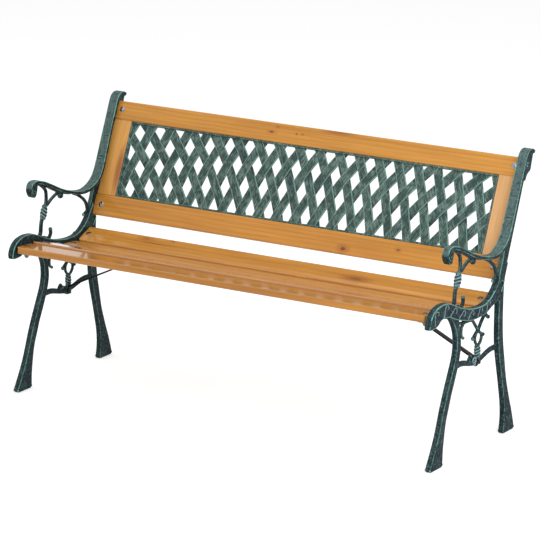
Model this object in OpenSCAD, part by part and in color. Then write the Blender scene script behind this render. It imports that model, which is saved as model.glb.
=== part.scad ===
// Park bench: two cast end frames carrying five seat slats and a framed lattice back.
// Millimetres. X runs along the bench, Y to the rear, Z up, origin below the middle of the box.

/* [Overall] */
// Width over the outer faces of the two cast ends
bench_width = 1270; // [1000:10:1800]
// Lean of the back rest from upright, in degrees
back_lean = 23.3; // [21:0.1:25]

/* [Castings] */
// Width of the flat band that forms the arm and the front of the post
band_width = 26; // [22:0.5:30]
// Thickness of that band
band_thick = 9; // [7:0.5:11]
// Thickness of the web: seat rail, legs and the rear of the post
web_thick = 16; // [12:0.5:20]
// Distance from the middle of a casting to the inner side of its post
post_inner = 4; // [3:0.5:6]
// Thickness of the turned and curled ornament
ornament_thick = 8; // [7:0.5:11]
// Width of the rolled front end of the arm
scroll_width = 20; // [17:0.5:24]
// Width of the head block behind the top of the post
head_width = 20; // [18:0.5:24]
// Height of the raised rims and curls on the seat rail
relief_rise = 1.5; // [0.8:0.1:2.5]
// Thickness of the lugs that carry the wood
lug_thick = 5; // [4:0.5:8]
// Length of each lug along the bolted wood's width
lug_length = 24; // [20:1:30]
// Distance from the middle of a casting to its bolts
bolt_inset = 26; // [24:0.5:32]

/* [Seat] */
// Distance from the middle of one seat slat to the next
slat_pitch = 71.4; // [66:0.2:76]
// Thickness of the seat slats
slat_thick = 18; // [15:0.5:21]
// Gap between neighbouring slats, taken from their width
slat_gap = 7.4; // [5:0.2:12]
// Rounding along the slat edges
slat_round = 4; // [2:0.5:6]
// Rounding of the corners at the ends of the boards
end_round = 6.5; // [2:0.5:7]

/* [Back] */
// Thickness of the back frame
frame_thick = 18; // [16:0.5:22]
// Height of the lattice opening, up the slope of the back
opening_height = 207; // [190:1:220]
// Width of the lower back rail
bottom_rail_width = 58; // [50:1:62]
// Width of the upper back rail
top_rail_width = 52; // [46:1:54]
// Width of the two stiles
stile_width = 58.5; // [50:0.5:64]
// Rounding along the outer edges of the back frame
frame_round = 3; // [1:0.5:4]
// Dowel diameter in the frame corners
dowel_dia = 8; // [6:0.5:10]
// Dowel length
dowel_length = 48; // [36:1:60]

/* [Lattice] */
// Thickness of the panel's tongue
rim_thick = 8; // [7:0.5:9]
// Visible width of the panel's rim
rim_width = 5; // [4:0.5:10]
// Distance of the rim's face behind the front of the wood
rim_setback = 1; // [0.5:0.5:3]
// Depth of the rim from its face to its back
rim_depth = 14; // [12.5:0.5:16]
// Depth of the tongue that sits in the frame's groove
tongue = 6; // [4:0.5:8]
// Width of a lattice strip
strip_width = 25; // [18:0.5:30]
// Thickness of a lattice strip
strip_thick = 5; // [4:0.25:6]
// Height of the weave where one strip passes over another
weave_rise = 1.2; // [0.5:0.1:1.4]

/* [Braces] */
// Width of the flat brace bar
brace_width = 13; // [11:0.5:20]
// Thickness of the flat brace bar
brace_thick = 3; // [2:0.25:4]
// Distance of the brace's top end from the middle of the bench
brace_top_x = 385; // [300:5:450]
// Radius of the boss that the brace foot is bolted to
boss_radius = 12; // [11:0.5:15]

/* [Fasteners] */
// Bolt diameter
bolt_dia = 6; // [5:0.5:7]
// Difference between a bolt and its hole
hole_play = 0.6; // [0.3:0.1:1.2]
// Diameter of the domed bolt heads
head_dia = 15; // [12:0.5:16]
// Height of the domed bolt heads
head_rise = 2.2; // [2:0.2:4]
// Washer diameter
washer_dia = 16; // [14:0.5:18]
// Washer thickness
washer_thick = 1.4; // [1:0.1:2]
// Nut size across the flats
nut_flats = 10; // [9:0.5:12]
// Nut height
nut_height = 5; // [4:0.2:6]
// Diameter of the wood screws that hold the braces
screw_dia = 4; // [3:0.5:5]
// Length of the wood screws inside the slat
screw_length = 13; // [9:0.5:14]

/* [Hidden] */
$fn = 48;
// Profile points are [y, z] from the middle of the feet at the floor.
rail_nose = -210;
cap_tip = 320;
set_back = (rail_nose + cap_tip) / 2;
mid_x = bench_width / 2 - band_width / 2;
bolt_x = mid_x - bolt_inset;
web_face = mid_x - web_thick / 2;
upstand = 4;
end_gap = 0.5;
slat_half = web_face - upstand - end_gap;
frame_half = mid_x - post_inner - end_gap;
hole_dia = bolt_dia + hole_play;
nut_play = 0.1;
lug_reach = bolt_inset - web_thick / 2 + 16;

// Seat slats: shift from even spacing, height of the top, tilt in degrees, bolt offset from the centre.
seat_dip = [
    [2.8, 400, -3.6, -5],
    [1.9, 395, -12.5, 0],
    [0, 376.5, -15.3, 0],
    [-0.4, 362.5, -4.5, 0],
    [-2.3, 373.5, 21.3, 0]
];
seat_mid = -27;
// Each slat: top centre [y, z], tilt, bolt offset.
slats = [
    for (i = [0 : 4]) let (s = seat_dip[i])
        [seat_mid + (i - 2) * slat_pitch + s[0], s[1], s[2], s[3]]
];
slat_width = slat_pitch - slat_gap;

// Back frame: it slides up the slope of the posts, whose face passes through this point.
post_face = [173.5, 440];
back_z = 440;
back_y = post_face[0] + (back_z - post_face[1]) * tan(back_lean);
post_rise = (back_z - post_face[1]) * [tan(back_lean), 1];
open_low = 30;
open_high = open_low + opening_height;
top_bolt_v = open_high + top_rail_width * 0.55;
low_bolt_v = open_low - bottom_rail_width * 0.49;
panel_front = 5;
groove_play = 0.2;
groove_deep = tongue + 2;
stile_in = frame_half - stile_width;

// Brace: bolted at the boss, screwed below the fourth slat.
boss_y = 47;
boss_z = 228.5;
foot_face = mid_x - 7;
boss_long = 12.5;
screw_step = 9;
brace_pad_y = (boss_y - slats[3][0] - slat_thick * sin(slats[3][2])) / cos(slats[3][2]);

// Flat band of arm and post: its upper and front line, from the roll to the cap.
band_line = [
    [-124, 543], [-120.5, 552], [-111, 557.5], [-97, 558.5], [-80, 555], [-60, 548.5], [-30, 535.5],
    [0, 521.5], [30, 509], [60, 500], [92, 492], [123, 488.8], [145, 492.5], [166, 501], [182, 513],
    [194, 529], [209, 560], [226, 600], [247.5, 650], [269, 700], [274.5, 712], [282, 721],
    [292, 726.5], [303, 727.5], [312, 725.5], [cap_tip, 720.5]
];
// The upper ends of the posts rise with the back frame.
function risen(line) = [for (p = line) p[0] > 180 && p[1] > 540 ? p + post_rise : p];

// Outline of the rolled end of the arm.
roll_line = [
    [-98, 556], [-112, 556.5], [-121.5, 549], [-125, 538], [-123, 527.5], [-118, 519.5],
    [-111.5, 515], [-105, 517.5], [-100.5, 525], [-98, 535], [-96, 546]
];
// Rear part of the post: front line inside the band, then rear line.
post_front = [
    [147, 420], [155, 440], [164, 460], [171, 480], [178, 501], [193, 520], [213, 561],
    [230, 600], [251, 649], [271, 696]
];
post_rear = [
    [179, 405], [182.5, 425], [188, 442], [194, 462], [209.5, 500], [234.5, 560], [250.5, 600],
    [271, 650], [285, 684]
];
// Seat rail: upper line and lower line.
rail_top = [
    [rail_nose, 377], [-206, 392], [-198, 404], [-187, 412.5], [-172, 418.5], [-152, 421.5],
    [-132, 421], [-112, 417.5], [-82, 406], [-54, 394], [-23, 384], [7, 377], [37, 372.8],
    [67, 372], [88, 375.3], [106, 382.5], [126, 396], [139, 409], [149, 424], [164, 446]
];
rail_low = [
    [rail_nose, 371.5], [-205, 368.5], [-190, 368], [-174, 369.5], [-162, 374], [-152, 380], [-138, 383.5],
    [-127, 382.5], [-107, 379.5], [-92, 372.5], [-62, 362], [-32, 353.5], [-2, 346.5],
    [27, 343.6], [57, 344], [87, 346.6], [115, 356], [150, 366], [160, 366]
];
// Legs: front line and rear line, from the floor up.
front_leg_a = [
    [-187, 0], [-193, 6], [-183, 25], [-166, 55], [-151, 85], [-139, 115], [-128, 145],
    [-115, 175], [-101, 205], [-86, 235], [-72, 265], [-66, 290], [-66.5, 315], [-73, 338],
    [-88, 362], [-108, 384]
];
front_leg_b = [
    [-134, 0], [-129, 7], [-127.5, 40], [-121, 85], [-114, 115], [-102, 145], [-90, 175],
    [-75, 205], [-61, 235], [-50, 265], [-45, 290], [-47, 315], [-52, 340], [-60, 366]
];
rear_leg_a = [
    [195, 0], [192, 7], [196, 30], [197, 55], [194, 85], [187, 115], [180, 145], [172, 175],
    [164, 205], [157.5, 235], [154, 265], [153, 300], [153, 370]
];
rear_leg_b = [
    [246, 0], [251, 6], [246, 25], [236, 55], [224, 85], [213, 115], [203, 145], [196, 175],
    [190, 205], [183.5, 235], [179, 265], [176.5, 300], [176, 345], [177, 380], [179.5, 408]
];
// Head block behind the top of the post, below the cap.
head_line = [
    [254, 650], [270, 688], [280, 711], [290, 719], [304, 720], [314, 716.5], [311, 704],
    [306, 688], [301, 673], [290, 667], [281, 661], [275, 650]
];

// Helpers

// Smooth curve through the points p, n steps between two of them.
function spline(a, b, c, d, t) = 0.5 * (2 * b + (c - a) * t + (2 * a - 5 * b + 4 * c - d) * t * t
    + (3 * b - a - 3 * c + d) * t * t * t);
function curve(p, n) = [
    for (i = [0 : len(p) - 2], k = [0 : n - 1])
        spline(p[max(i - 1, 0)], p[i], p[i + 1], p[min(i + 2, len(p) - 1)], k / n),
    p[len(p) - 1]
];
function back_to_front(p) = [for (i = [len(p) - 1 : -1 : 0]) p[i]];
// Direction of curve c at point i, and the curve moved sideways by d (to the right of travel).
function heading(c, i) = let (v = c[min(i + 1, len(c) - 1)] - c[max(i - 1, 0)]) v / norm(v);
function beside(c, d) = [for (i = [0 : len(c) - 1]) c[i] + d * [heading(c, i)[1], -heading(c, i)[0]]];

// Area between two curves that run the same way.
module between(p, q, n = 3) {
    polygon(concat(curve(p, n), back_to_front(curve(q, n))));
}

// Band along a line: from `from` to `to` on the right-hand side of its travel.
module strip(p, from, to, n = 3) {
    c = curve(p, n);
    polygon(concat(beside(c, from), back_to_front(beside(c, to))));
}

// Rod-like stroke of width w, tapering to w2, with a round end of radius r.
module stroke(p, w, w2 = 0, n = 3) {
    c = curve(p, n);
    m = len(c) - 1;
    e = w2 == 0 ? w : w2;
    a = [for (i = [0 : m]) c[i] + (w + (e - w) * i / m) / 2 * [heading(c, i)[1], -heading(c, i)[0]]];
    b = [for (i = [0 : m]) c[i] - (w + (e - w) * i / m) / 2 * [heading(c, i)[1], -heading(c, i)[0]]];
    polygon(concat(a, back_to_front(b)));
}

module dot(y, z, r) {
    translate([y, z]) circle(r);
}

// Stand a drawing in the side view up as a plate of thickness t, its middle at x = 0.
module plate(t) {
    rotate([90, 0, 90]) linear_extrude(t, center = true) children();
}

// Same, from x = a to x = b.
module slab(a, b) {
    translate([a, 0, 0]) rotate([90, 0, 90]) linear_extrude(b - a) children();
}

module rounded(w, h, r) {
    square([w - 2 * r, h], center = true);
    square([w, h - 2 * r], center = true);
    for (i = [-1, 1], k = [-1, 1]) translate([i * (w / 2 - r), k * (h / 2 - r)]) circle(r);
}

// Frames of reference.
module bench() {
    translate([0, -set_back, 0]) children();
}

// Slat i: x along the bench, y across the slat, z up from its top face.
module on_slat(i) {
    bench() translate([0, slats[i][0], slats[i][1]]) rotate([slats[i][2], 0, 0]) children();
}

// Back: y to the rear from the front face of the wood, z up the slope.
module on_back() {
    bench() translate([0, back_y, back_z]) rotate([-back_lean, 0, 0]) children();
}

// Turned rod along z with rings at the given heights.
module turned(r, h, rings, ring_r, bead) {
    rotate(35) rotate_extrude() {
        square([r, h]);
        for (z = rings) translate([ring_r, z]) intersection() {
            circle(bead);
            translate([-ring_r, -bead]) square([ring_r + bead, 2 * bead]);
        }
    }
}

// Cast ends, drawn for the right-hand end with its middle at x = 0

module web_shape() {
    between(rail_top, rail_low);
    between(front_leg_a, front_leg_b);
    between(rear_leg_a, rear_leg_b);
}

module arm_support() {
    // Foot of the baluster and the hook beside it
    stroke([[-78, 402], [-73, 413], [-71.5, 426], [-69, 440], [-63, 453]], 12, 11);
    stroke([[-66, 396], [-56, 394], [-46, 390], [-34, 391], [-27, 401], [-28, 413]], 9, 9);
    dot(-28.5, 415.5, 5.5);
    // Two branches up to the arm
    stroke([[-54, 476], [-48.5, 486], [-46.2, 497], [-46.5, 509], [-49, 521], [-59, 532],
            [-73, 541], [-86, 548]], 10, 8);
    stroke([[-53, 477], [-42, 482], [-33, 487], [-24, 492.5], [-12, 498], [4, 503.5], [17, 507.5]], 9, 8);
    // Arc from the arm to the post, and the spur below it
    stroke([[80, 487], [98, 480], [115, 470.6], [130, 459.5], [140.5, 446], [146, 428]], 8, 9);
    stroke([[158, 432], [146, 427], [134, 421.5], [126, 419.5]], 12, 6);
    dot(126, 419, 4.5);
}

module under_seat() {
    // Arch behind the front leg, with its curl
    stroke([[-12, 350], [-20, 345.5], [-28, 340], [-33.4, 332.5], [-34.8, 323.5], [-33, 314],
            [-28, 308.5], [-23, 306]], 8, 6);
    dot(-23, 305.5, 4.5);
    stroke([[-52, 352], [-40, 348], [-22, 345.5], [-4, 344.5], [10, 343.5], [24, 341]], 8, 8);
    // Crossed bars
    stroke([[20, 344], [30, 334.8], [39.2, 325.1], [47.7, 315.6], [57.3, 306], [68.8, 298], [80, 292]], 7, 7);
    stroke([[90, 345], [81.2, 335.1], [71.5, 326.4], [63.8, 317.3], [56, 308.5], [45.3, 302.8],
            [32, 293.5]], 8, 8);
    dot(83.5, 290, 5.2);
    dot(28.4, 291.2, 6);
    // Loop between the bars and the spindle
    stroke([[47, 303], [41.5, 296], [39.5, 287.5], [42, 279.5], [48, 272.5], [55, 267]], 6.5, 7);
    stroke([[66, 300], [72.5, 295], [74.5, 286.5], [71.5, 279], [65.5, 272.5], [57, 267]], 6.5, 7);
    // Knob under the rear of the rail
    stroke([[86, 352], [96, 338], [107, 331]], 11, 9);
    dot(109, 330, 5.5);
    // Stretcher
    stroke([[-72, 240], [-50, 242], [-30, 241.5], [-10, 237.5], [12, 231.5], [34, 227]], 17, 13);
    stroke([[58, 227.5], [84, 233.5], [108, 239.5], [130, 242], [164, 241]], 13, 15);
    stroke([[8, 234], [12, 242], [17, 247]], 12, 10);
    dot(17.5, 247.5, 5.5);
    dot(boss_y, boss_z, boss_radius - 1);
}

module rail_relief() {
    // Rims
    strip([for (i = [0 : 18]) rail_top[i]], 0.4, 4);
    strip([for (i = [7 : 15]) rail_low[i]], -4, -0.4);
    // Curls along the rail
    for (c = [[-178, 394, 38, 1], [-128, 401, 22, 0.9], [-88, 390, -22, 0.85], [-44, 373, -20, 0.85],
              [2, 362, -8, 0.85], [48, 358, 6, 0.8], [92, 364, 28, 0.8]])
        translate([c[0], c[1]]) rotate(c[2]) {
            stroke([[-15, -9] * c[3], [-8, 1] * c[3], [3, 7] * c[3], [13, 2] * c[3],
                    [11, -5] * c[3], [5, -4] * c[3]], 4.5, 2.5, 2);
            stroke([[-4, -8] * c[3], [3, -3] * c[3], [9, -8.5] * c[3], [16, -9] * c[3]], 3, 2, 2);
        }
}

// Seat lug in the slat's own frame: a flange below the slat and an upstand at its end.
module seat_lug(i) {
    inner = -web_thick / 2 - lug_reach;
    front = lug_length * 0.375;
    translate([0, slats[i][0], slats[i][1]]) rotate([slats[i][2], 0, 0])
        translate([0, slats[i][3], -slat_thick]) {
            slab(inner, -web_thick / 2 + 4) polygon([
                [-front, 0], [lug_length - front, 0], [lug_length - front, -lug_thick],
                [-front + 0.8, -lug_thick], [-front, -lug_thick * 0.6]
            ]);
            slab(-web_thick / 2 - upstand, -web_thick / 2 + 4)
                translate([-front, -1]) square([lug_length, slat_thick * 0.6 + 1]);
        }
}

// Lug behind a back rail at height v, joined to the post by a web outside the wood.
module back_lug(v, root) {
    translate([0, back_y, back_z]) rotate([-back_lean, 0, 0]) translate([0, 0, v - 20])
        linear_extrude(40) polygon([
            [-web_thick / 2 - lug_reach, frame_thick], [-post_inner, frame_thick],
            [-post_inner, root], [web_thick / 2 - 4, root],
            [web_thick / 2 - 4, frame_thick + lug_thick],
            [-web_thick / 2 - lug_reach, frame_thick + lug_thick]
        ]);
}

module arm_plan() {
    // Plan of the band: narrower towards the roll, swelling inwards at the foot of the post
    linear_extrude(900) polygon([
        [-scroll_width / 2, -140], [scroll_width / 2, -140], [scroll_width / 2, -90],
        [band_width / 2, 110], [band_width / 2, 330 + post_rise[0]], [-band_width / 2, 330 + post_rise[0]],
        [-band_width / 2 - 1, 235], [-band_width / 2 - 3.5, 200], [-band_width / 2 - 3.5, 180],
        [-band_width / 2, 130], [-band_width / 2, 110], [-scroll_width / 2, -90]
    ]);
}

module end_frame() {
    bench() difference() {
        union() {
            plate(web_thick) web_shape();
            slab(-post_inner, web_thick / 2) between(risen(post_front), risen(post_rear));
            intersection() {
                plate(band_width + 8) strip(risen(band_line), 0, band_thick);
                arm_plan();
            }
            // Rib below the arm
            plate(ornament_thick + 4) strip([for (i = [5 : 9]) band_line[i]], band_thick - 1, band_thick + 3.5);
            plate(scroll_width + 1) polygon(curve(roll_line, 3));
            plate(scroll_width + 5) dot(-111, 534, 7);
            plate(head_width) polygon(curve(risen(head_line), 3));
            slab(head_width / 2 - 2, head_width / 2 + 2) dot(283 + post_rise[0], 690 + post_rise[1], 7);
            plate(ornament_thick) {
                arm_support();
                under_seat();
            }
            slab(web_thick / 2 - 1, web_thick / 2 + relief_rise) rail_relief();
            // Beads of the arm support
            translate([0, -62.5, 447]) rotate([-16, 0, 0]) turned(6, 35, [6, 14, 22, 30], 5, 4);
            translate([0, 19.5, 494]) sphere(8.5);
            // Spindle under the seat
            translate([0, 53.8, 236]) turned(5, 34, [10, 17, 24, 31], 4.5, 3.2);
            // Boss for the brace
            translate([-7, boss_y, boss_z]) rotate([0, 90, 0]) cylinder(h = boss_long, r = boss_radius);
            for (i = [0 : 4]) seat_lug(i);
            back_lug(top_bolt_v, 4);
            back_lug(low_bolt_v, 2);
        }
        for (i = [0 : 4])
            translate([-bolt_inset, slats[i][0], slats[i][1]]) rotate([slats[i][2], 0, 0])
                translate([0, slats[i][3], -slat_thick - lug_thick - 1])
                    cylinder(h = lug_thick + 2, d = hole_dia);
        for (v = [top_bolt_v, low_bolt_v])
            translate([-bolt_inset, back_y, back_z]) rotate([-back_lean, 0, 0])
                translate([0, frame_thick - 1, v]) rotate([-90, 0, 0])
                    cylinder(h = lug_thick + 2, d = hole_dia);
        translate([-8, boss_y, boss_z]) rotate([0, 90, 0]) cylinder(h = 16, d = hole_dia);
        // Room for the lower corner of the wood
        translate([0, back_y, back_z]) rotate([-back_lean, 0, 0])
            translate([-web_thick / 2 - 1, -1, open_low - bottom_rail_width - 1])
                cube([web_thick / 2 + 1 - post_inner, frame_thick + 1, 60]);
    }
}

module right_end_frame() {
    color("#27413f") translate([mid_x, 0, 0]) end_frame();
}

module left_end_frame() {
    color("#27413f") mirror([1, 0, 0]) translate([mid_x, 0, 0]) end_frame();
}

// Wood

module seat_slat(i) {
    on_slat(i) difference() {
        intersection() {
            translate([-slat_half, 0, -slat_thick / 2]) rotate([90, 0, 90])
                linear_extrude(2 * slat_half) rounded(slat_width, slat_thick, slat_round);
            translate([0, 0, -slat_thick - 1]) linear_extrude(slat_thick + 2)
                rounded(2 * slat_half, slat_width + 0.4, end_round);
        }
        for (s = [-1, 1]) translate([s * bolt_x, slats[i][3], -slat_thick - 1])
            cylinder(h = slat_thick + 2, d = hole_dia);
        if (i == 3) brace_points() translate([0, 0, -1]) cylinder(h = screw_length + 2, d = screw_dia + 0.2);
    }
}

// Screw places below the fourth slat, z up from its underside.
module brace_points() {
    for (s = [-1, 1], k = [-1, 1])
        translate([s * brace_top_x + k * screw_step, brace_pad_y, -slat_thick]) children();
}

module wood_color() {
    color("#c98c3f") children();
}

module seat_slat_front() {
    wood_color() seat_slat(0);
}

module seat_slat_second() {
    wood_color() seat_slat(1);
}

module seat_slat_third() {
    wood_color() seat_slat(2);
}

module seat_slat_fourth() {
    wood_color() seat_slat(3);
}

module seat_slat_rear() {
    wood_color() seat_slat(4);
}

// Rail of the back frame from height v0 to v1.
module back_rail(v0, v1, bolt_v, inner) {
    on_back() difference() {
        intersection() {
            translate([-frame_half, frame_thick / 2, (v0 + v1) / 2]) rotate([90, 0, 90])
                linear_extrude(2 * frame_half) rounded(frame_thick, v1 - v0, frame_round);
            translate([0, frame_thick + 1, (v0 + v1) / 2]) rotate([90, 0, 0]) linear_extrude(frame_thick + 2)
                rounded(2 * frame_half, v1 - v0 + 0.4, end_round);
        }
        translate([-stile_in - groove_deep, panel_front - groove_play, inner - groove_deep])
            cube([2 * (stile_in + groove_deep), rim_thick + 2 * groove_play, 2 * groove_deep]);
        bolt_line(bolt_v) translate([0, 0, -1]) cylinder(h = frame_thick + 2, d = hole_dia);
        dowel_places() cylinder(h = dowel_length + 1, d = dowel_dia + 0.1, center = true);
    }
}

module back_stile(s) {
    on_back() difference() {
        translate([s * (stile_in + stile_width / 2), frame_thick / 2, open_low])
            linear_extrude(opening_height) rounded(stile_width, frame_thick, frame_round);
        translate([s * stile_in - groove_deep, panel_front - groove_play, open_low - 1])
            cube([2 * groove_deep, rim_thick + 2 * groove_play, opening_height + 2]);
        dowel_places() cylinder(h = dowel_length + 1, d = dowel_dia + 0.1, center = true);
    }
}

// Bolt places at both ends of a back rail, z to the rear from the front face.
module bolt_line(v) {
    for (s = [-1, 1]) translate([s * bolt_x, 0, v]) rotate([-90, 0, 0]) children();
}

module dowel_places() {
    for (s = [-1, 1], v = [open_low, open_high])
        translate([s * (stile_in + stile_width / 2 - 2), frame_thick / 2, v]) children();
}

module back_top_rail() {
    wood_color() back_rail(open_high, open_high + top_rail_width, top_bolt_v, open_high);
}

module back_bottom_rail() {
    wood_color() back_rail(open_low - bottom_rail_width, open_low, low_bolt_v, open_low);
}

module left_back_stile() {
    wood_color() back_stile(-1);
}

module right_back_stile() {
    wood_color() back_stile(1);
}

module stile_dowels() {
    color("#d8b27a") on_back() dowel_places() cylinder(h = dowel_length, d = dowel_dia, center = true);
}

// Lattice

// Falling strip k crosses mid height at strip_x(k). At height h above it, it lies strip_run(k) * h
// to the left, plus a bend of strip_bend(k) * h * h. The rising strips mirror the falling ones.
mid_v = open_low + opening_height / 2;
function strip_x(k) = 21.2 + 58.2 * k - 0.477 * k * k + 0.0292 * k * k * k;
function strip_run(k) = let (x = strip_x(k)) 0.4986 - 0.000636 * x + 0.000000606 * x * x;
function strip_bend(k) = -0.00078 + 0.00000094 * strip_x(k);
function strip_at(k, h) = strip_x(k) - strip_run(k) * h + strip_bend(k) * h * h;
// Half of width w, measured along the bench, where strip k is h above mid height.
function across(k, w, h) = let (t = strip_run(k) - 2 * strip_bend(k) * h) w / 2 * sqrt(1 + t * t);

module falling_strip(k, w) {
    reach = opening_height / 2 + 4;
    hs = [for (i = [-4 : 4]) i / 4 * reach];
    polygon(concat(
        [for (h = hs) [strip_at(k, h) - across(k, w, h), mid_v + h]],
        back_to_front([for (h = hs) [strip_at(k, h) + across(k, w, h), mid_v + h]])
    ));
}

// Height above mid where falling strip k, moved by a, meets rising strip m, moved by b.
function meet(k, m, a, b) = let (
    s = strip_x(k) + a + strip_x(m) + b,
    p = strip_run(k) + strip_run(m),
    q = strip_bend(k) + strip_bend(m)
) 2 * s / (p + sqrt(max(p * p - 4 * q * s, 0.01)));

// Area where strip k of width w passes strip m of width u.
module crossing(k, m, w, u) {
    c = meet(k, m, 0, 0);
    a = across(k, w, c);
    b = across(m, u, c);
    polygon([for (s = [[-1, -1], [1, -1], [1, 1], [-1, 1]])
        let (h = meet(k, m, s[0] * a, s[1] * b)) [strip_at(k, h) + s[0] * a, mid_v + h]]);
}

module weave(parity) {
    for (k = [-10 : 8], m = [-10 : 8])
        if (abs((k + m) % 2) == parity) {
            h = meet(k, m, 0, 0);
            x = strip_at(k, h);
            if (abs(h) < opening_height / 2 - 20 && abs(x) < stile_in - 25)
                crossing(k, m, strip_width - 2, strip_width + 7);
        }
}

module lattice_plane(from, to) {
    translate([0, to, 0]) rotate([90, 0, 0]) linear_extrude(to - from) children();
}

// Ring from `out` beyond the edge of the opening to the inside of the rim.
module lattice_ring(out) {
    difference() {
        translate([-stile_in - out, open_low - out]) square([2 * (stile_in + out), opening_height + 2 * out]);
        translate([-stile_in + rim_width, open_low + rim_width])
            square([2 * (stile_in - rim_width), opening_height - 2 * rim_width]);
    }
}

module lattice_panel() {
    strip_front = panel_front + (rim_thick - strip_thick) / 2;
    color("#4f6f62") on_back() union() {
        lattice_plane(panel_front, panel_front + rim_thick) lattice_ring(tongue);
        lattice_plane(rim_setback, rim_setback + rim_depth) lattice_ring(-0.3);
        lattice_plane(strip_front, strip_front + strip_thick) intersection() {
            for (k = [-10 : 9]) {
                falling_strip(k, strip_width);
                mirror([1, 0]) falling_strip(k, strip_width);
            }
            translate([-stile_in + 2, open_low + 2]) square([2 * stile_in - 4, opening_height - 4]);
        }
        // Raised where the falling strips pass in front, and behind for the others
        lattice_plane(strip_front - weave_rise, strip_front + 1) {
            weave(1);
            mirror([1, 0]) weave(0);
        }
        lattice_plane(strip_front + strip_thick - 1, strip_front + strip_thick + weave_rise) {
            weave(0);
            mirror([1, 0]) weave(1);
        }
    }
}

// Braces

module brace() {
    // Underside of the fourth slat above the boss
    under = slats[3][1] - slat_thick / cos(slats[3][2]) + (boss_y - slats[3][0]) * tan(slats[3][2]);
    half = screw_step + 9;
    difference() {
        union() {
            bench() translate([0, boss_y + brace_width / 2, 0]) rotate([90, 0, 0])
                linear_extrude(brace_width) polygon([
                    [foot_face, boss_z - 10], [foot_face, boss_z + 13.5],
                    [brace_top_x + half - 2, under - 0.9], [brace_top_x + half - 8, under - 0.9],
                    [brace_top_x + half - 8, under - 2.2],
                    [brace_top_x + half - 3, under - brace_thick - 1.6],
                    [foot_face - brace_thick, boss_z + 9], [foot_face - brace_thick, boss_z - 10]
                ]);
            on_slat(3) translate([brace_top_x - half, brace_pad_y - brace_width / 2,
                                  -slat_thick - brace_thick])
                cube([2 * half, brace_width, brace_thick]);
        }
        bench() translate([foot_face - brace_thick - 1, boss_y, boss_z]) rotate([0, 90, 0])
            cylinder(h = brace_thick + 2, d = hole_dia);
        on_slat(3) brace_points() translate([0, 0, -brace_thick - 1])
            cylinder(h = brace_thick + 2, d = screw_dia + 0.4);
    }
}

module right_brace() {
    color("#1c1c1e") brace();
}

module left_brace() {
    color("#1c1c1e") mirror([1, 0, 0]) brace();
}

// Fasteners, z pointing from the head's seat along the shank

module domed_bolt(length) {
    ball = (head_dia * head_dia / 4 + head_rise * head_rise) / (2 * head_rise);
    cylinder(h = length, d = bolt_dia);
    intersection() {
        translate([0, 0, ball - head_rise]) sphere(ball);
        translate([0, 0, -head_rise - 1]) cylinder(h = head_rise + 1, d = head_dia + 2);
    }
}

module washer() {
    difference() {
        cylinder(h = washer_thick, d = washer_dia);
        translate([0, 0, -1]) cylinder(h = washer_thick + 2, d = bolt_dia + 0.4);
    }
}

module nut() {
    difference() {
        cylinder(h = nut_height, d = nut_flats / cos(30), $fn = 6);
        translate([0, 0, -1]) cylinder(h = nut_height + 2, d = bolt_dia + nut_play);
    }
}

// Seat fasteners at end s, z down from the top of each slat.
module seat_points(s) {
    for (i = [0 : 4]) on_slat(i) translate([s * bolt_x, slats[i][3], 0]) rotate([180, 0, 0]) children();
}

seat_grip = slat_thick + lug_thick;
back_grip = frame_thick + lug_thick;

module seat_bolts(s) {
    seat_points(s) domed_bolt(seat_grip + washer_thick + nut_height + 2);
}

module seat_washers(s) {
    seat_points(s) translate([0, 0, seat_grip]) washer();
}

module seat_nuts(s) {
    seat_points(s) translate([0, 0, seat_grip + washer_thick]) nut();
}

module steel() {
    color("#b9bcc0") children();
}

module left_seat_bolts() {
    steel() seat_bolts(-1);
}

module right_seat_bolts() {
    steel() seat_bolts(1);
}

module left_seat_washers() {
    steel() seat_washers(-1);
}

module right_seat_washers() {
    steel() seat_washers(1);
}

module left_seat_nuts() {
    steel() seat_nuts(-1);
}

module right_seat_nuts() {
    steel() seat_nuts(1);
}

module back_points() {
    on_back() for (v = [top_bolt_v, low_bolt_v]) bolt_line(v) children();
}

module back_bolts() {
    steel() back_points() domed_bolt(back_grip + washer_thick + nut_height + 2);
}

module back_washers() {
    steel() back_points() translate([0, 0, back_grip]) washer();
}

module back_nuts() {
    steel() back_points() translate([0, 0, back_grip + washer_thick]) nut();
}

// Brace bolts run outwards from the inner face of each brace foot.
module foot_points() {
    for (s = [0, 1]) mirror([s, 0, 0])
        bench() translate([foot_face - brace_thick, boss_y, boss_z]) rotate([0, 90, 0]) children();
}

module brace_bolts() {
    steel() foot_points() domed_bolt(brace_thick + boss_long + washer_thick + nut_height + 0.8);
}

module brace_washers() {
    steel() foot_points() translate([0, 0, brace_thick + boss_long]) washer();
}

module brace_nuts() {
    steel() foot_points() translate([0, 0, brace_thick + boss_long + washer_thick]) nut();
}

module brace_screws() {
    steel() on_slat(3) brace_points() translate([0, 0, -brace_thick]) {
        cylinder(h = brace_thick + screw_length, d = screw_dia);
        translate([0, 0, -2.4]) cylinder(h = 2.4, d = 2 * screw_dia);
    }
}

left_end_frame();
right_end_frame();
seat_slat_front();
seat_slat_second();
seat_slat_third();
seat_slat_fourth();
seat_slat_rear();
back_top_rail();
back_bottom_rail();
left_back_stile();
right_back_stile();
lattice_panel();
left_brace();
right_brace();
left_seat_bolts();
right_seat_bolts();
left_seat_washers();
right_seat_washers();
left_seat_nuts();
right_seat_nuts();
back_bolts();
back_washers();
back_nuts();
brace_bolts();
brace_washers();
brace_nuts();
brace_screws();
stile_dowels();
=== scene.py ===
"""Park bench: cast end frames, lacquered boards and a woven lattice, dressed on the CAD frame.

The castings and the lattice replace their CAD nodes with finer meshes. Boards, braces and
fasteners keep their CAD shape and get a finish. Drawings are in millimetres, the scene in metres.
"""
import logging
import math
from dataclasses import dataclass, field
from enum import Enum
from typing import Iterable, Sequence

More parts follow.
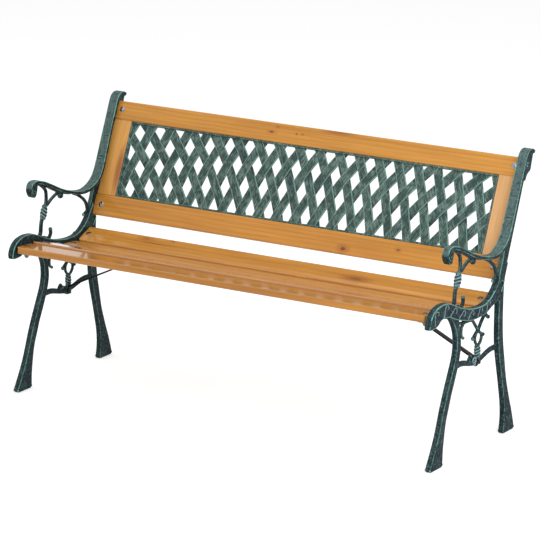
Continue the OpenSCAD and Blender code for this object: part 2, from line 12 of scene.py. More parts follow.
import bmesh
import bpy
import numpy as np
from mathutils import Matrix, Vector


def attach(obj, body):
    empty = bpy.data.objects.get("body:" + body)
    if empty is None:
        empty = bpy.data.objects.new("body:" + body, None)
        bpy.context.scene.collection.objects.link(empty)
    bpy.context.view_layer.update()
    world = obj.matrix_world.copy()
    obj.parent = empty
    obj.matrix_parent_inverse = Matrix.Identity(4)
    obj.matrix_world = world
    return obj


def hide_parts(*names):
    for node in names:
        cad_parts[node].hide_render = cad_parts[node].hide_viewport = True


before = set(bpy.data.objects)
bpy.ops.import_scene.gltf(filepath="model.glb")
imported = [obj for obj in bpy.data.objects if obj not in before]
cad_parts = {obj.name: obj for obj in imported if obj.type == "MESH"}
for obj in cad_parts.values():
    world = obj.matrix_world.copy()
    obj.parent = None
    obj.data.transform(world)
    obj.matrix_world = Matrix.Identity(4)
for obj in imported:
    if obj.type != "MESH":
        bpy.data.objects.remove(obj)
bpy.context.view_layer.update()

log = logging.getLogger("bench")
MM = 0.001
SET_BACK = 55.0  # the side view's zero lies this far in front of the bench's middle
PHOTO_SIDE = 540.0  # width and height of the photograph, in pixels
FILM = 36.0  # width of the camera's film, in millimetres
RING_STRENGTH = 0.33  # how dark a board's rings turn where its tone is 1
ROD_SIDES = 20  # points round a rod or a ball
ROD_SQUARE = 0.75  # 1 would make a rod's section an ellipse, less makes it squarer

Point = tuple[float, float]
Colour = tuple[float, float, float]


class Side(Enum):
    """Which end of the bench a casting belongs to."""

    LEFT = "left"
    RIGHT = "right"


class Grain(Enum):
    """How the grain of a board runs."""

    ALONG = "along the bench"
    UPRIGHT = "up the back"


# ---- drawing helpers, in millimetres ----


def srgb(text: str) -> Colour:
    """Linear colour of a hex value such as 'c98c3f'."""
    parts = [int(text[i:i + 2], 16) / 255 for i in (0, 2, 4)]
    return tuple(p / 12.92 if p <= 0.04045 else ((p + 0.055) / 1.055) ** 2.4 for p in parts)


def spline(points: Sequence[Point], steps: int = 4) -> np.ndarray:
    """Smooth curve through points.

    Args:
        points: The points, in order.
        steps: Pieces between two of them.

    Returns:
        The curve's points, one row each.
    """
    p = np.asarray(points, float)
    out = []
    for i in range(len(p) - 1):
        a, b, c, d = p[max(i - 1, 0)], p[i], p[i + 1], p[min(i + 2, len(p) - 1)]
        for k in range(steps):
            t = k / steps
            out.append(0.5 * (2 * b + (c - a) * t + (2 * a - 5 * b + 4 * c - d) * t * t
                              + (3 * b - a - 3 * c + d) * t ** 3))
    return np.array(out + [p[-1]])


def headings(curve: np.ndarray) -> np.ndarray:
    """Unit direction of travel at each point of a curve."""
    step = np.gradient(curve, axis=0)
    return step / np.maximum(np.linalg.norm(step, axis=1, keepdims=True), 1e-9)


def rightward(curve: np.ndarray) -> np.ndarray:
    """Unit direction to the right of travel at each point of a curve."""
    way = headings(curve)
    return np.stack([way[:, 1], -way[:, 0]], 1)


def beside(curve: np.ndarray, gap: float) -> np.ndarray:
    """Curve moved sideways by gap, to the right of travel."""
    return curve + rightward(curve) * gap


def around(count: int) -> np.ndarray:
    """Angles of evenly spaced points round a circle, in radians."""
    return np.linspace(0, 2 * math.pi, count, endpoint=False)


def cos_sin(degrees: float) -> tuple[float, float]:
    """Cosine and sine of an angle in degrees."""
    return math.cos(math.radians(degrees)), math.sin(math.radians(degrees))


def rope_swell(share: np.ndarray, radius: float) -> np.ndarray:
    """Radius at each share of a rope's length, largest in the middle."""
    return radius * (0.66 + 0.34 * np.sin(math.pi * np.clip(share, 0, 1)) ** 0.7)


def inset(outline: np.ndarray, depth: float) -> np.ndarray:
    """Draw a closed outline in, whichever way round it runs.

    Args:
        outline: Its points, one row each.
        depth: How far each side moves in.

    Returns:
        The smaller outline.
    """
    ahead = np.roll(outline, -1, 0) - outline
    ahead /= np.maximum(np.linalg.norm(ahead, axis=1, keepdims=True), 1e-9)
    behind = np.roll(ahead, 1, 0)
    out = np.stack([ahead[:, 1] + behind[:, 1], -ahead[:, 0] - behind[:, 0]], 1)
    length = np.maximum(np.linalg.norm(out, axis=1, keepdims=True), 0.6)
    x, y = outline.T
    turn = np.sign(np.sum(x * np.roll(y, -1) - np.roll(x, -1) * y))
    return outline - turn * depth * out / length


class Pattern:
    """Gathers closed shells, in millimetres, with x across the bench and y, z as in the side view."""

    def __init__(self) -> None:
        """Start with no shells."""
        self.points: list[np.ndarray] = []
        self.faces: list[tuple[int, ...]] = []
        self.marks: list[np.ndarray] = []
        self.count = 0

    def add(self, points: np.ndarray, faces: Iterable[Sequence[int]],
            marks: np.ndarray | None = None) -> None:
        """Add one closed shell.

        Args:
            points: Its points, three numbers a row.
            faces: Its faces, counted from its own first point.
            marks: A value for each point, such as how bare its paint is.
        """
        self.points.append(points)
        self.marks.append(np.zeros(len(points)) if marks is None else marks)
        self.faces += [tuple(i + self.count for i in f) for f in faces]
        self.count += len(points)

    def rings(self, rings: np.ndarray, marks: np.ndarray | None = None, closed: bool = False) -> None:
        """Skin a row of equal rings.

        Args:
            rings: Array of rings, points a ring, three numbers.
            marks: A value for each point of each ring.
            closed: Whether the last ring joins the first.
        """
        n, m = rings.shape[:2]
        faces = []
        for i in range(n if closed else n - 1):
            a, b = i * m, (i + 1) % n * m
            faces += [(a + k, a + (k + 1) % m, b + (k + 1) % m, b + k) for k in range(m)]
        if not closed:
            faces += [tuple(range(m - 1, -1, -1)), tuple(range((n - 1) * m, n * m))]
        self.add(rings.reshape(-1, 3), faces, None if marks is None else marks.reshape(-1))

    def slab(self, outline: np.ndarray, low: float, high: float, bevel: float = 1.5) -> None:
        """Plate between two planes across the bench, its edges bevelled.

        Args:
            outline: Closed outline in the side view.
            low: Where the plate starts.
            high: Where it ends.
            bevel: Width of the bevel.
        """
        keep = np.linalg.norm(outline - np.roll(outline, -1, 0), axis=1) > 0.05
        outline = outline[keep]
        drawn = inset(outline, bevel)
        half = inset(outline, bevel * 0.3)
        stack = [(low, drawn), (low + bevel * 0.3, half), (low + bevel, outline),
                 (high - bevel, outline), (high - bevel * 0.3, half), (high, drawn)]
        self.rings(np.array([np.column_stack([np.full(len(o), x), o]) for x, o in stack]))

    def between(self, one: Sequence[Point], other: Sequence[Point], low: float, high: float,
                bevel: float = 1.5) -> None:
        """Plate between two curves that run the same way."""
        self.slab(np.concatenate([spline(one), spline(other)[::-1]]), low, high, bevel)

    def rod(self, path: Sequence[Point], wide: float, narrow: float = 0.0, deep: float = 8.4,
            x: float = 0.0, ball_end: float = 0.0) -> None:
        """Rounded rod along a path in the side view.

        Args:
            path: The points it follows.
            wide: Its width where it starts.
            narrow: Its width at the end, 0 for the same.
            deep: Its thickness across the bench.
            x: Where its middle lies across the bench.
            ball_end: Radius of a ball at its end, 0 for none.
        """
        line = spline(path, 5)
        width = np.linspace(wide, narrow or wide, len(line)) / 2
        angle = around(ROD_SIDES)
        flat, rise = (np.sign(c) * np.abs(c) ** ROD_SQUARE for c in (np.cos(angle), np.sin(angle)))
        rings = np.empty((len(line), ROD_SIDES, 3))
        rings[:, :, 0] = x + rise * deep / 2
        rings[:, :, 1:] = line[:, None] + rightward(line)[:, None] * (width[:, None] * flat)[:, :, None]
        self.rings(rings)
        for end, r in ((line[0], width[0]), (line[-1], width[-1])):
            self.ball((x, *end), (deep / 2 * 0.96, r * 0.97, r * 0.97))
        if ball_end:
            self.ball((x, *line[-1]), (ball_end * 0.95, ball_end, ball_end))

    def ball(self, centre: Sequence[float], radii: Sequence[float]) -> None:
        """Ball or cushion shape.

        Args:
            centre: Its middle.
            radii: Its radius on each axis.
        """
        up = np.linspace(-math.pi / 2, math.pi / 2, 13)[1:-1]
        angle = around(ROD_SIDES)
        rings = np.empty((len(up), ROD_SIDES, 3))
        rings[:, :, 0] = np.sin(up)[:, None]
        rings[:, :, 1] = np.cos(up)[:, None] * np.cos(angle)
        rings[:, :, 2] = np.cos(up)[:, None] * np.sin(angle)
        self.rings(rings * np.asarray(radii) + np.asarray(centre))

    def disc(self, centre: Point, radius: float, low: float, high: float, dome: float = 1.5) -> None:
        """Round boss across the bench with domed ends.

        Args:
            centre: Its middle in the side view.
            radius: Its radius.
            low: Where it starts across the bench.
            high: Where it ends.
            dome: Height of the dome at each end.
        """
        turn = around(40)
        circle = np.stack([np.cos(turn), np.sin(turn)], 1)
        steps = ((low, 0.55), (low + dome * 0.45, 0.86), (low + dome, 1.0),
                 (high - dome, 1.0), (high - dome * 0.45, 0.86), (high, 0.55))
        rings = [np.column_stack([np.full(len(turn), x), np.asarray(centre) + circle * radius * r])
                 for x, r in steps]
        self.rings(np.array(rings))

    def rope(self, foot: Point, lean: float, length: float, radius: float, strands: int,
             turns: float) -> None:
        """Twisted rod that swells in the middle, like a short piece of rope.

        Args:
            foot: Its lower end in the side view.
            lean: Its lean towards the rear, in degrees.
            length: Its length.
            radius: Its largest radius.
            strands: How many strands it has.
            turns: How often they go round over its length.
        """
        up = np.linspace(0, 1, 56)
        turn = around(48)
        lobes = np.abs(np.cos(strands / 2 * (turn[None] - 2 * math.pi * turns * up[:, None])))
        r = rope_swell(up * 1.02, radius)[:, None] * (0.62 + 0.38 * lobes ** 0.9)
        across, along = r * np.cos(turn), r * np.sin(turn)
        c, s = cos_sin(lean)
        h = (up * length)[:, None] + 0 * turn
        rings = np.stack([across, foot[0] + along * c + h * s, foot[1] - along * s + h * c], 2)
        self.rings(rings)

    def spiral(self, centre: Point, outer: float, inner: float, turns: float, start: float, wide: float,
               deep: float, x: float) -> None:
        """Raised spiral ridge on a face.

        Args:
            centre: Its middle in the side view.
            outer: Radius where it starts.
            inner: Radius where it ends.
            turns: How often it goes round.
            start: Angle of its start, in degrees.
            wide: Width of the ridge.
            deep: Thickness across the bench.
            x: Where the ridge's middle lies across the bench.
        """
        t = np.linspace(0, 1, 30)
        angle = math.radians(start) + t * turns * 2 * math.pi
        r = outer + (inner - outer) * t
        line = np.stack([centre[0] + r * np.cos(angle), centre[1] + r * np.sin(angle)], 1)
        self.rod([tuple(p) for p in line], wide, wide * 0.7, deep, x)

    def to_mesh(self, name: str) -> bpy.types.Mesh:
        """Mesh of all the shells.

        Args:
            name: The mesh's name.

        Returns:
            The mesh, in metres and in the frame's axes.
        """
        v = np.concatenate(self.points)
        v = (v - (0, SET_BACK, 0)) * MM
        mesh = bpy.data.meshes.new(name)
        mesh.from_pydata(v.tolist(), [], self.faces)
        mesh.update()
        return mesh


def show(thing: bpy.types.Object) -> None:
    """Put an object in the scene."""
    bpy.context.scene.collection.objects.link(thing)


def read_points(mesh: bpy.types.Mesh, what: str = "co") -> np.ndarray:
    """Read something of each point of a mesh.

    Args:
        mesh: The mesh, in metres.
        what: co for the places, normal for the normals.

    Returns:
        Three numbers a point.
    """
    flat = np.empty(len(mesh.vertices) * 3)
    mesh.vertices.foreach_get(what, flat)
    return flat.reshape(-1, 3)


def mark_points(mesh: bpy.types.Mesh, label: str, values: np.ndarray) -> None:
    """Keep a value for each point of a mesh, for its material to read."""
    mesh.attributes.new(label, "FLOAT", "POINT").data.foreach_set("value", values.astype(np.float32))


def neighbours_mean(edges: np.ndarray, count: np.ndarray, values: np.ndarray) -> np.ndarray:
    """Mean of each point's neighbours along the mesh's edges.

    Args:
        edges: Two points a row.
        count: How many edges each point has.
        values: One row of values a point.

    Returns:
        The means, one row a point.
    """
    a, b = edges.T
    total = np.stack([np.bincount(a, values[b, k], len(count)) + np.bincount(b, values[a, k], len(count))
                      for k in range(values.shape[1])], 1)
    return total / count[:, None]


def cast_skin(pattern: Pattern, name: str, voxel: float, rounds: int) -> bpy.types.Mesh:
    """Melt all shells of a pattern into one skin with soft fillets.

    Args:
        pattern: The shells.
        name: Name of the mesh.
        voxel: Size of the remesh grid, in millimetres.
        rounds: Rounds of smoothing.

    Returns:
        The skin, with the point attributes arris (convex edges) and one for inner corners, which the paint
        darkens as painted shade.
    """
    rough = bpy.data.objects.new(name + "_shells", pattern.to_mesh(name + "_shells"))
    show(rough)
    melt = rough.modifiers.new("melt", "REMESH")
    melt.mode = "VOXEL"
    melt.voxel_size = voxel * MM
    mesh = bpy.data.meshes.new_from_object(rough.evaluated_get(bpy.context.evaluated_depsgraph_get()))
    shells = rough.data
    bpy.data.objects.remove(rough)
    bpy.data.meshes.remove(shells)
    mesh.name = name
    v = read_points(mesh) / MM
    edges = np.empty(len(mesh.edges) * 2, int)
    mesh.edges.foreach_get("vertices", edges)
    edges = edges.reshape(-1, 2)
    count = np.maximum(np.bincount(edges.ravel(), minlength=len(v)), 1)
    for _ in range(rounds):
        for pull in (0.5, -0.53):  # shrinks, then swells back, so that the skin keeps its size
            v = v + pull * (neighbours_mean(edges, count, v) - v)
    mesh.vertices.foreach_set("co", (v * MM).ravel())
    mesh.update()
    bend = -np.sum((neighbours_mean(edges, count, v) - v) * read_points(mesh, "normal"), 1, keepdims=True)
    for _ in range(2):
        bend = 0.5 * bend + 0.5 * neighbours_mean(edges, count, bend)
    bend = bend[:, 0] / voxel
    flat = 0.02  # bends up to this count as a plain face
    mark_points(mesh, "arris", np.clip((bend - flat) / 0.11, 0, 1))
    # painted shade: marks inner corners, which the paint darkens
    mark_points(mesh, "crevice_shade", np.clip((-bend - flat) / 0.10, 0, 1))
    mesh.polygons.foreach_set("use_smooth", np.ones(len(mesh.polygons), bool))
    return mesh


def place(name: str, mesh: bpy.types.Mesh, material: bpy.types.Material, node: str) -> None:
    """Put a finished mesh in the scene as a piece of the bench.

    Args:
        name: The piece's name.
        mesh: Its mesh, in metres.
        material: Its finish.
        node: The CAD node that it stands for.
    """
    piece = bpy.data.objects.new(name, mesh)
    show(piece)
    mesh.materials.clear()
    mesh.materials.append(material)
    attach(piece, "root")
    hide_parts(node)
    log.info("%s: %d points", name, len(mesh.vertices))


# ---- shader helpers ----

Feed = bpy.types.NodeSocket | float | Sequence[float]
Sockets = bpy.types.bpy_prop_collection


class Graph:
    """Short hand for placing and joining shader nodes in one tree."""

    def __init__(self, tree: bpy.types.NodeTree) -> None:
        """Work in the given tree."""
        self.tree = tree

    def add(self, kind: str, inputs: dict[str | int, Feed] | None = None,
            **settings: object) -> bpy.types.Node:
        """Place one node.

        Args:
            kind: Its type, without the ShaderNode in front.
            inputs: Values or sockets for its inputs, by name or number.
            settings: Its own settings.

        Returns:
            The node.
        """
        node = self.tree.nodes.new("ShaderNode" + kind)
        for key, value in settings.items():
            setattr(node, key, value)
        for key, value in (inputs or {}).items():
            self.feed(node.inputs[key], value)
        return node

    def feed(self, socket: bpy.types.NodeSocket, value: Feed) -> None:
        """Join a socket to an input, or set the input's value.

        Args:
            socket: The input.
            value: The socket or value that it gets.
        """
        if isinstance(value, bpy.types.NodeSocket):
            self.tree.links.new(value, socket)
        elif socket.type == "RGBA" and len(value) == 3:
            socket.default_value = (*value, 1.0)
        else:
            socket.default_value = value

    def math(self, operation: str, a: Feed, b: Feed = 0.0, clamp: bool = False) -> bpy.types.NodeSocket:
        """One sum."""
        return self.add("Math", {0: a, 1: b}, operation=operation, use_clamp=clamp).outputs[0]

    def times(self, a: Feed, b: Feed, clamp: bool = False) -> bpy.types.NodeSocket:
        """Product of two values."""
        return self.math("MULTIPLY", a, b, clamp)

    def plus(self, a: Feed, b: Feed) -> bpy.types.NodeSocket:
        """Sum of two values."""
        return self.math("ADD", a, b)

    def minus(self, a: Feed, b: Feed) -> bpy.types.NodeSocket:
        """First value less the second."""
        return self.math("SUBTRACT", a, b)

    def vector(self, operation: str, a: Feed, b: Feed = (0.0, 0.0, 0.0)) -> bpy.types.NodeSocket:
        """One sum of vectors; a length or product comes out as a value."""
        node = self.add("VectorMath", {0: a, 1: b}, operation=operation)
        return node.outputs[1 if operation in ("LENGTH", "DISTANCE", "DOT_PRODUCT") else 0]

    def scaled(self, vector: Feed, scale: Sequence[float]) -> bpy.types.NodeSocket:
        """Vector multiplied on each axis."""
        return self.vector("MULTIPLY", vector, scale)

    def grown(self, vector: Feed, size: Feed) -> bpy.types.NodeSocket:
        """Vector multiplied by one value."""
        return self.add("VectorMath", {0: vector, "Scale": size}, operation="SCALE").outputs[0]

    def noise(self, vector: Feed, scale: Feed, detail: float = 2.0, rough: float = 0.5,
              seed: Feed = 0.0) -> bpy.types.NodeSocket:
        """Even noise from 0 to 1."""
        return self.add("TexNoise", {"Vector": vector, "W": seed, "Scale": scale, "Detail": detail,
                                     "Roughness": rough}, noise_dimensions="4D").outputs[0]

    def fit(self, value: Feed, low: Feed, high: Feed, to_low: Feed = 0.0, to_high: Feed = 1.0,
            soft: bool = True) -> bpy.types.NodeSocket:
        """Value from one range laid over another, with soft ends or straight."""
        return self.add("MapRange", {0: value, 1: low, 2: high, 3: to_low, 4: to_high},
                        interpolation_type="SMOOTHSTEP" if soft else "LINEAR").outputs[0]

    def blend(self, share: Feed, a: Feed, b: Feed, how: str = "MIX") -> bpy.types.NodeSocket:
        """Blend of two colours."""
        node = self.add("Mix", {0: share, 6: a, 7: b}, data_type="RGBA", blend_type=how)
        return node.outputs[2]

    def use(self, group: bpy.types.NodeTree, **inputs: Feed) -> bpy.types.Node:
        """Place a node group.

        Args:
            group: The group.
            inputs: Values or sockets for its inputs, by name.

        Returns:
            The node.
        """
        node = self.tree.nodes.new("ShaderNodeGroup")
        node.node_tree = group
        for key, value in inputs.items():
            self.feed(node.inputs[key], value)
        return node

    def spot(self) -> bpy.types.NodeSocket:
        """Place on the bench, in metres."""
        return self.add("TexCoord").outputs["Object"]

    def mark(self, label: str) -> bpy.types.NodeSocket:
        """Value that the mesh keeps for each point under a name."""
        return self.add("Attribute", attribute_name=label).outputs["Fac"]

    def parts(self, vector: Feed) -> Sockets:
        """The three numbers of a vector."""
        return self.add("SeparateXYZ", {0: vector}).outputs

    def seen(self) -> bpy.types.NodeSocket:
        """Tell rays that look from rays that light the bench.

        Returns:
            1 for a camera, glossy or transmission ray, 0 for the others.
        """
        rays = self.add("LightPath").outputs
        near = self.math("MAXIMUM", rays["Is Camera Ray"], rays["Is Glossy Ray"])
        return self.math("MAXIMUM", near, rays["Is Transmission Ray"])

    def lay_on(self, shader: bpy.types.Node, colour: Feed, rough: Feed, height: Feed, strength: float,
               distance: float) -> None:
        """Feed a Principled shader what changes over the surface.

        Args:
            shader: The shader.
            colour: Its base colour.
            rough: Its roughness.
            height: Height of its bump.
            strength: Strength of the bump.
            distance: Depth of the bump, in metres.
        """
        bump = self.add("Bump", {"Strength": strength, "Distance": distance, "Height": height})
        for label, value in (("Base Color", colour), ("Roughness", rough), ("Normal", bump.outputs[0])):
            self.feed(shader.inputs[label], value)


def new_group(name: str, inputs: dict[str, str], outputs: dict[str, str]) -> tuple[Graph, Sockets, Sockets]:
    """Start a shader node group.

    Args:
        name: The group's name.
        inputs: Its inputs and their kinds: Float, Vector or Color.
        outputs: Its outputs and their kinds.

    Returns:
        The graph, the sockets that bring its inputs and those that take its outputs.
    """
    tree = bpy.data.node_groups.new(name, "ShaderNodeTree")
    for way, sockets in (("INPUT", inputs), ("OUTPUT", outputs)):
        for label, kind in sockets.items():
            tree.interface.new_socket(label, in_out=way, socket_type="NodeSocket" + kind)
    return Graph(tree), tree.nodes.new("NodeGroupInput").outputs, tree.nodes.new("NodeGroupOutput").inputs


def rubbed_edges() -> bpy.types.NodeTree:
    """Where paint is rubbed off raised edges, broken up as by a dry brush.

    Returns:
        The node group.
    """
    g, i, o = new_group("rubbed_edges", {"Vector": "Vector", "Edge": "Float", "Amount": "Float",
                                         "Scale": "Float", "Seed": "Float"}, {"Mask": "Float"})
    broad = g.noise(i["Vector"], i["Scale"], 3.0, 0.6, i["Seed"])
    fine = g.noise(i["Vector"], g.times(i["Scale"], 9.0), 2.0, 0.6, i["Seed"])
    broken = g.plus(g.times(broad, 0.8), g.times(fine, 0.45))
    # an edge is bare where it stands out further than the broken noise asks for
    need = g.minus(broken, g.times(i["Amount"], 0.55))
    mask = g.fit(g.minus(i["Edge"], need), -0.12, 0.3)
    g.feed(o["Mask"], g.times(mask, i["Edge"], clamp=True))
    return g.tree


def brush_streaks() -> bpy.types.NodeTree:
    """Long thin streaks of a nearly dry brush, fine across its stroke and coarse along it.

    Returns:
        The node group.
    """
    g, i, o = new_group("brush_streaks", {"Vector": "Vector", "Across": "Vector", "Fine": "Float",
                                          "Coarse": "Float", "Cover": "Float", "Seed": "Float"},
                        {"Mask": "Float"})
    p = i["Vector"]
    side = g.vector("DOT_PRODUCT", p, i["Across"])
    # the place is scaled finely across the stroke and coarsely in all other directions
    gain = g.times(side, g.minus(i["Fine"], i["Coarse"]))
    laid = g.vector("ADD", g.grown(p, i["Coarse"]), g.grown(i["Across"], gain))
    streak = g.noise(laid, 1.0, 4.0, 0.65, i["Seed"])
    patch = g.noise(p, 45.0, 2.0, 0.5, g.plus(i["Seed"], 5.0))
    level = g.minus(1.0, i["Cover"])
    both = g.plus(streak, g.times(g.minus(patch, 0.5), 0.6))
    g.feed(o["Mask"], g.fit(both, level, g.plus(level, 0.2)))
    return g.tree


def cast_surface() -> bpy.types.NodeTree:
    """Height of sand-cast skin under paint, with fine grit and a slow unevenness.

    Returns:
        The node group.
    """
    g, i, o = new_group("cast_surface", {"Vector": "Vector", "Grit": "Float", "Seed": "Float"},
                        {"Height": "Float", "Roughness": "Float"})
    grit = g.noise(i["Vector"], 900.0, 2.0, 0.6, i["Seed"])
    slow = g.noise(i["Vector"], 90.0, 2.0, 0.5, i["Seed"])
    height = g.plus(g.times(grit, i["Grit"]), slow)
    g.feed(o["Height"], height)
    g.feed(o["Roughness"], g.times(g.minus(grit, 0.5), 0.25))
    return g.tree


def paint_specks() -> bpy.types.NodeTree:
    """Light and dark specks in the paint, and how unevenly a raised part is rubbed bare.

    Returns:
        The node group.
    """
    g, i, o = new_group("paint_specks", {"Vector": "Vector", "Amount": "Float", "Seed": "Float"},
                        {"Light": "Float", "Dark": "Float", "Worn": "Float"})
    grit = g.noise(i["Vector"], 215.0, 2.0, 0.6, i["Seed"])
    g.feed(o["Light"], g.fit(grit, 0.52, 0.72, 0.0, i["Amount"]))
    g.feed(o["Dark"], g.fit(grit, 0.46, 0.30, 0.0, i["Amount"]))
    g.feed(o["Worn"], g.fit(grit, 0.3, 0.6, 0.45, 0.95))
    return g.tree


def painted_top_light() -> bpy.types.NodeTree:
    """Painted top light: faces that look up and not sideways, mostly above the seat rail, are made paler to
    stand in for light from above.

    Returns:
        The node group.
    """
    g, i, o = new_group("painted_top_light", {"Vector": "Vector", "Normal": "Vector"}, {"Mask": "Float"})
    facing = g.parts(i["Normal"])
    edgewise = g.fit(g.math("ABSOLUTE", facing[0]), 0.45, 0.8, 1.0, 0.0)
    upward = g.times(edgewise, g.fit(facing[2], -0.05, 0.35))
    height = g.fit(g.parts(i["Vector"])[2], 0.41, 0.47, 0.15, 1.0)
    g.feed(o["Mask"], g.times(upward, height))
    return g.tree


def fine_dust() -> bpy.types.NodeTree:
    """Soft cloudy dust or handling marks.

    Returns:
        The node group.
    """
    g, i, o = new_group("fine_dust", {"Vector": "Vector", "Scale": "Float", "Seed": "Float"},
                        {"Mask": "Float"})
    cloud = g.noise(i["Vector"], i["Scale"], 4.0, 0.6, i["Seed"])
    g.feed(o["Mask"], g.fit(cloud, 0.42, 0.72))
    return g.tree


def knot_mark() -> bpy.types.NodeTree:
    """One knot on a board, with its dark core, its halo and how it pushes the rings aside.

    Returns:
        The node group.
    """
    g, i, o = new_group("knot_mark", {"Vector": "Vector", "Centre": "Vector", "Size": "Vector",
                                      "Push": "Float"},
                        {"Core": "Float", "Halo": "Float", "Shift": "Float"})
    wobble = g.noise(i["Vector"], 0.12, 2.0, 0.5)
    away = g.vector("SUBTRACT", i["Vector"], i["Centre"])
    flat = g.vector("DIVIDE", away, i["Size"])
    far = g.plus(g.vector("LENGTH", flat), g.times(g.minus(wobble, 0.5), 0.7))
    g.feed(o["Core"], g.fit(far, 1.05, 0.6))
    g.feed(o["Halo"], g.fit(far, 3.2, 0.9))
    # the rings are pushed most beside the knot and less with the square of the distance
    bell = g.math("POWER", 2.718, g.times(g.times(far, far), -0.35))
    side = g.fit(g.parts(flat)[1], -0.6, 0.6, -1.0, 1.0)
    g.feed(o["Shift"], g.times(g.times(bell, i["Push"]), side))
    return g.tree


def board_grain() -> bpy.types.NodeTree:
    """Growth rings and fibres of a sawn board, in millimetres with x along the grain.

    Returns:
        The node group.
    """
    g, i, o = new_group("board_grain", {"Vector": "Vector", "Pith": "Vector", "Drift": "Float",
                                        "Ring": "Float", "Shift": "Float", "Seed": "Float"},
                        {"Tone": "Float", "Fibre": "Float", "Broad": "Float", "Height": "Float"})
    p = i["Vector"]
    x, y, z = g.parts(p)
    slow = g.noise(g.scaled(p, (0.0022, 0.006, 0.006)), 1.0, 2.0, 0.5, i["Seed"])
    mid = g.noise(g.scaled(p, (0.011, 0.05, 0.05)), 1.0, 2.0, 0.5, i["Seed"])
    # the rings drift along the board, waver slowly and finely, and go round the knots
    run = g.plus(g.times(x, i["Drift"]), i["Shift"])
    run = g.plus(run, g.times(g.minus(slow, 0.5), 18.0))
    run = g.plus(run, g.times(g.minus(mid, 0.5), 3.0))
    centre = g.parts(i["Pith"])
    across = g.plus(g.minus(y, centre[1]), run)
    deep = g.minus(z, centre[2])
    radius = g.math("SQRT", g.plus(g.times(across, across), g.times(deep, deep)))
    ring = g.math("FRACT", g.math("DIVIDE", radius, i["Ring"]))
    # each ring darkens slowly from its spring wood and ends sharply; some rings are darker than others
    early = g.fit(ring, 0.15, 0.86)
    late = g.fit(ring, 0.93, 1.0)
    tone = g.times(g.math("POWER", early, 1.6), g.minus(1.0, late))
    count = g.math("FLOOR", g.math("DIVIDE", radius, i["Ring"]))
    each = g.add("TexWhiteNoise", {"W": count}, noise_dimensions="1D").outputs[0]
    tone = g.times(tone, g.plus(0.45, g.times(each, 0.75)))
    fibre = g.noise(g.scaled(p, (0.007, 0.45, 0.45)), 1.0, 4.0, 0.7, i["Seed"])
    broad = g.noise(g.scaled(p, (0.003, 0.035, 0.035)), 1.0, 2.0, 0.5, g.plus(i["Seed"], 9.0))
    g.feed(o["Tone"], tone)
    g.feed(o["Fibre"], fibre)
    g.feed(o["Broad"], broad)
    g.feed(o["Height"], g.plus(g.times(tone, 0.35), g.times(fibre, 0.65)))
    return g.tree


def honey_lacquer() -> bpy.types.NodeTree:
    """Colour of a lacquered board, from its rings, fibres, broad bands and knots.

    Returns:
        The node group.
    """
    g, i, o = new_group("honey_lacquer", {"Light": "Color", "Dark": "Color", "Rings": "Float",
                                          "Fibre": "Float", "Broad": "Float", "Halo": "Float",
                                          "Core": "Float"}, {"Color": "Color"})
    colour = g.blend(i["Rings"], i["Light"], i["Dark"])
    fibre = g.fit(i["Fibre"], 0.3, 0.7, 0.79, 1.15, False)
    grey = g.add("CombineColor", {0: fibre, 1: fibre, 2: fibre}).outputs[0]
    colour = g.blend(1.0, colour, grey, "MULTIPLY")
    broad = g.fit(i["Broad"], 0.25, 0.75, 0.85, 1.09, False)
    warm = g.add("CombineColor", {0: broad, 1: g.math("POWER", broad, 1.3),
                                  2: g.math("POWER", broad, 2.0)}).outputs[0]
    colour = g.blend(1.0, colour, warm, "MULTIPLY")
    colour = g.blend(i["Halo"], colour, srgb("a5602a"))
    g.feed(o["Color"], g.blend(i["Core"], colour, srgb("6b3c1a")))
    return g.tree


@dataclass
class Workshop:
    """The node groups that the finishes share, built once."""

    rubbed: bpy.types.NodeTree = field(default_factory=rubbed_edges)
    streaks: bpy.types.NodeTree = field(default_factory=brush_streaks)
    skin: bpy.types.NodeTree = field(default_factory=cast_surface)
    specks: bpy.types.NodeTree = field(default_factory=paint_specks)
    # painted top light: marks the faces that look up, for a paler colour
    painted_top_light: bpy.types.NodeTree = field(default_factory=painted_top_light)
    dust: bpy.types.NodeTree = field(default_factory=fine_dust)
    knot: bpy.types.NodeTree = field(default_factory=knot_mark)
    grain: bpy.types.NodeTree = field(default_factory=board_grain)
    lacquer: bpy.types.NodeTree = field(default_factory=honey_lacquer)


def blank(holder: bpy.types.Material | bpy.types.World) -> Graph:
    """Empty the node tree of a material or a world.

    Args:
        holder: The material or world.

    Returns:
        Its graph.
    """
    holder.use_nodes = True
    holder.node_tree.nodes.clear()
    return Graph(holder.node_tree)


def start_material(name: str, fixed: dict[str, Feed]) -> tuple[bpy.types.Material, Graph, bpy.types.Node]:
    """Start a node material.

    Args:
        name: Its name.
        fixed: Constant values of its Principled shader.

    Returns:
        The material, its graph and its Principled shader.
    """
    material = bpy.data.materials.new(name)
    g = blank(material)
    shader = g.add("BsdfPrincipled", fixed)
    g.add("OutputMaterial", {"Surface": shader.outputs[0]})
    return material, g, shader


# ---- finishes ----


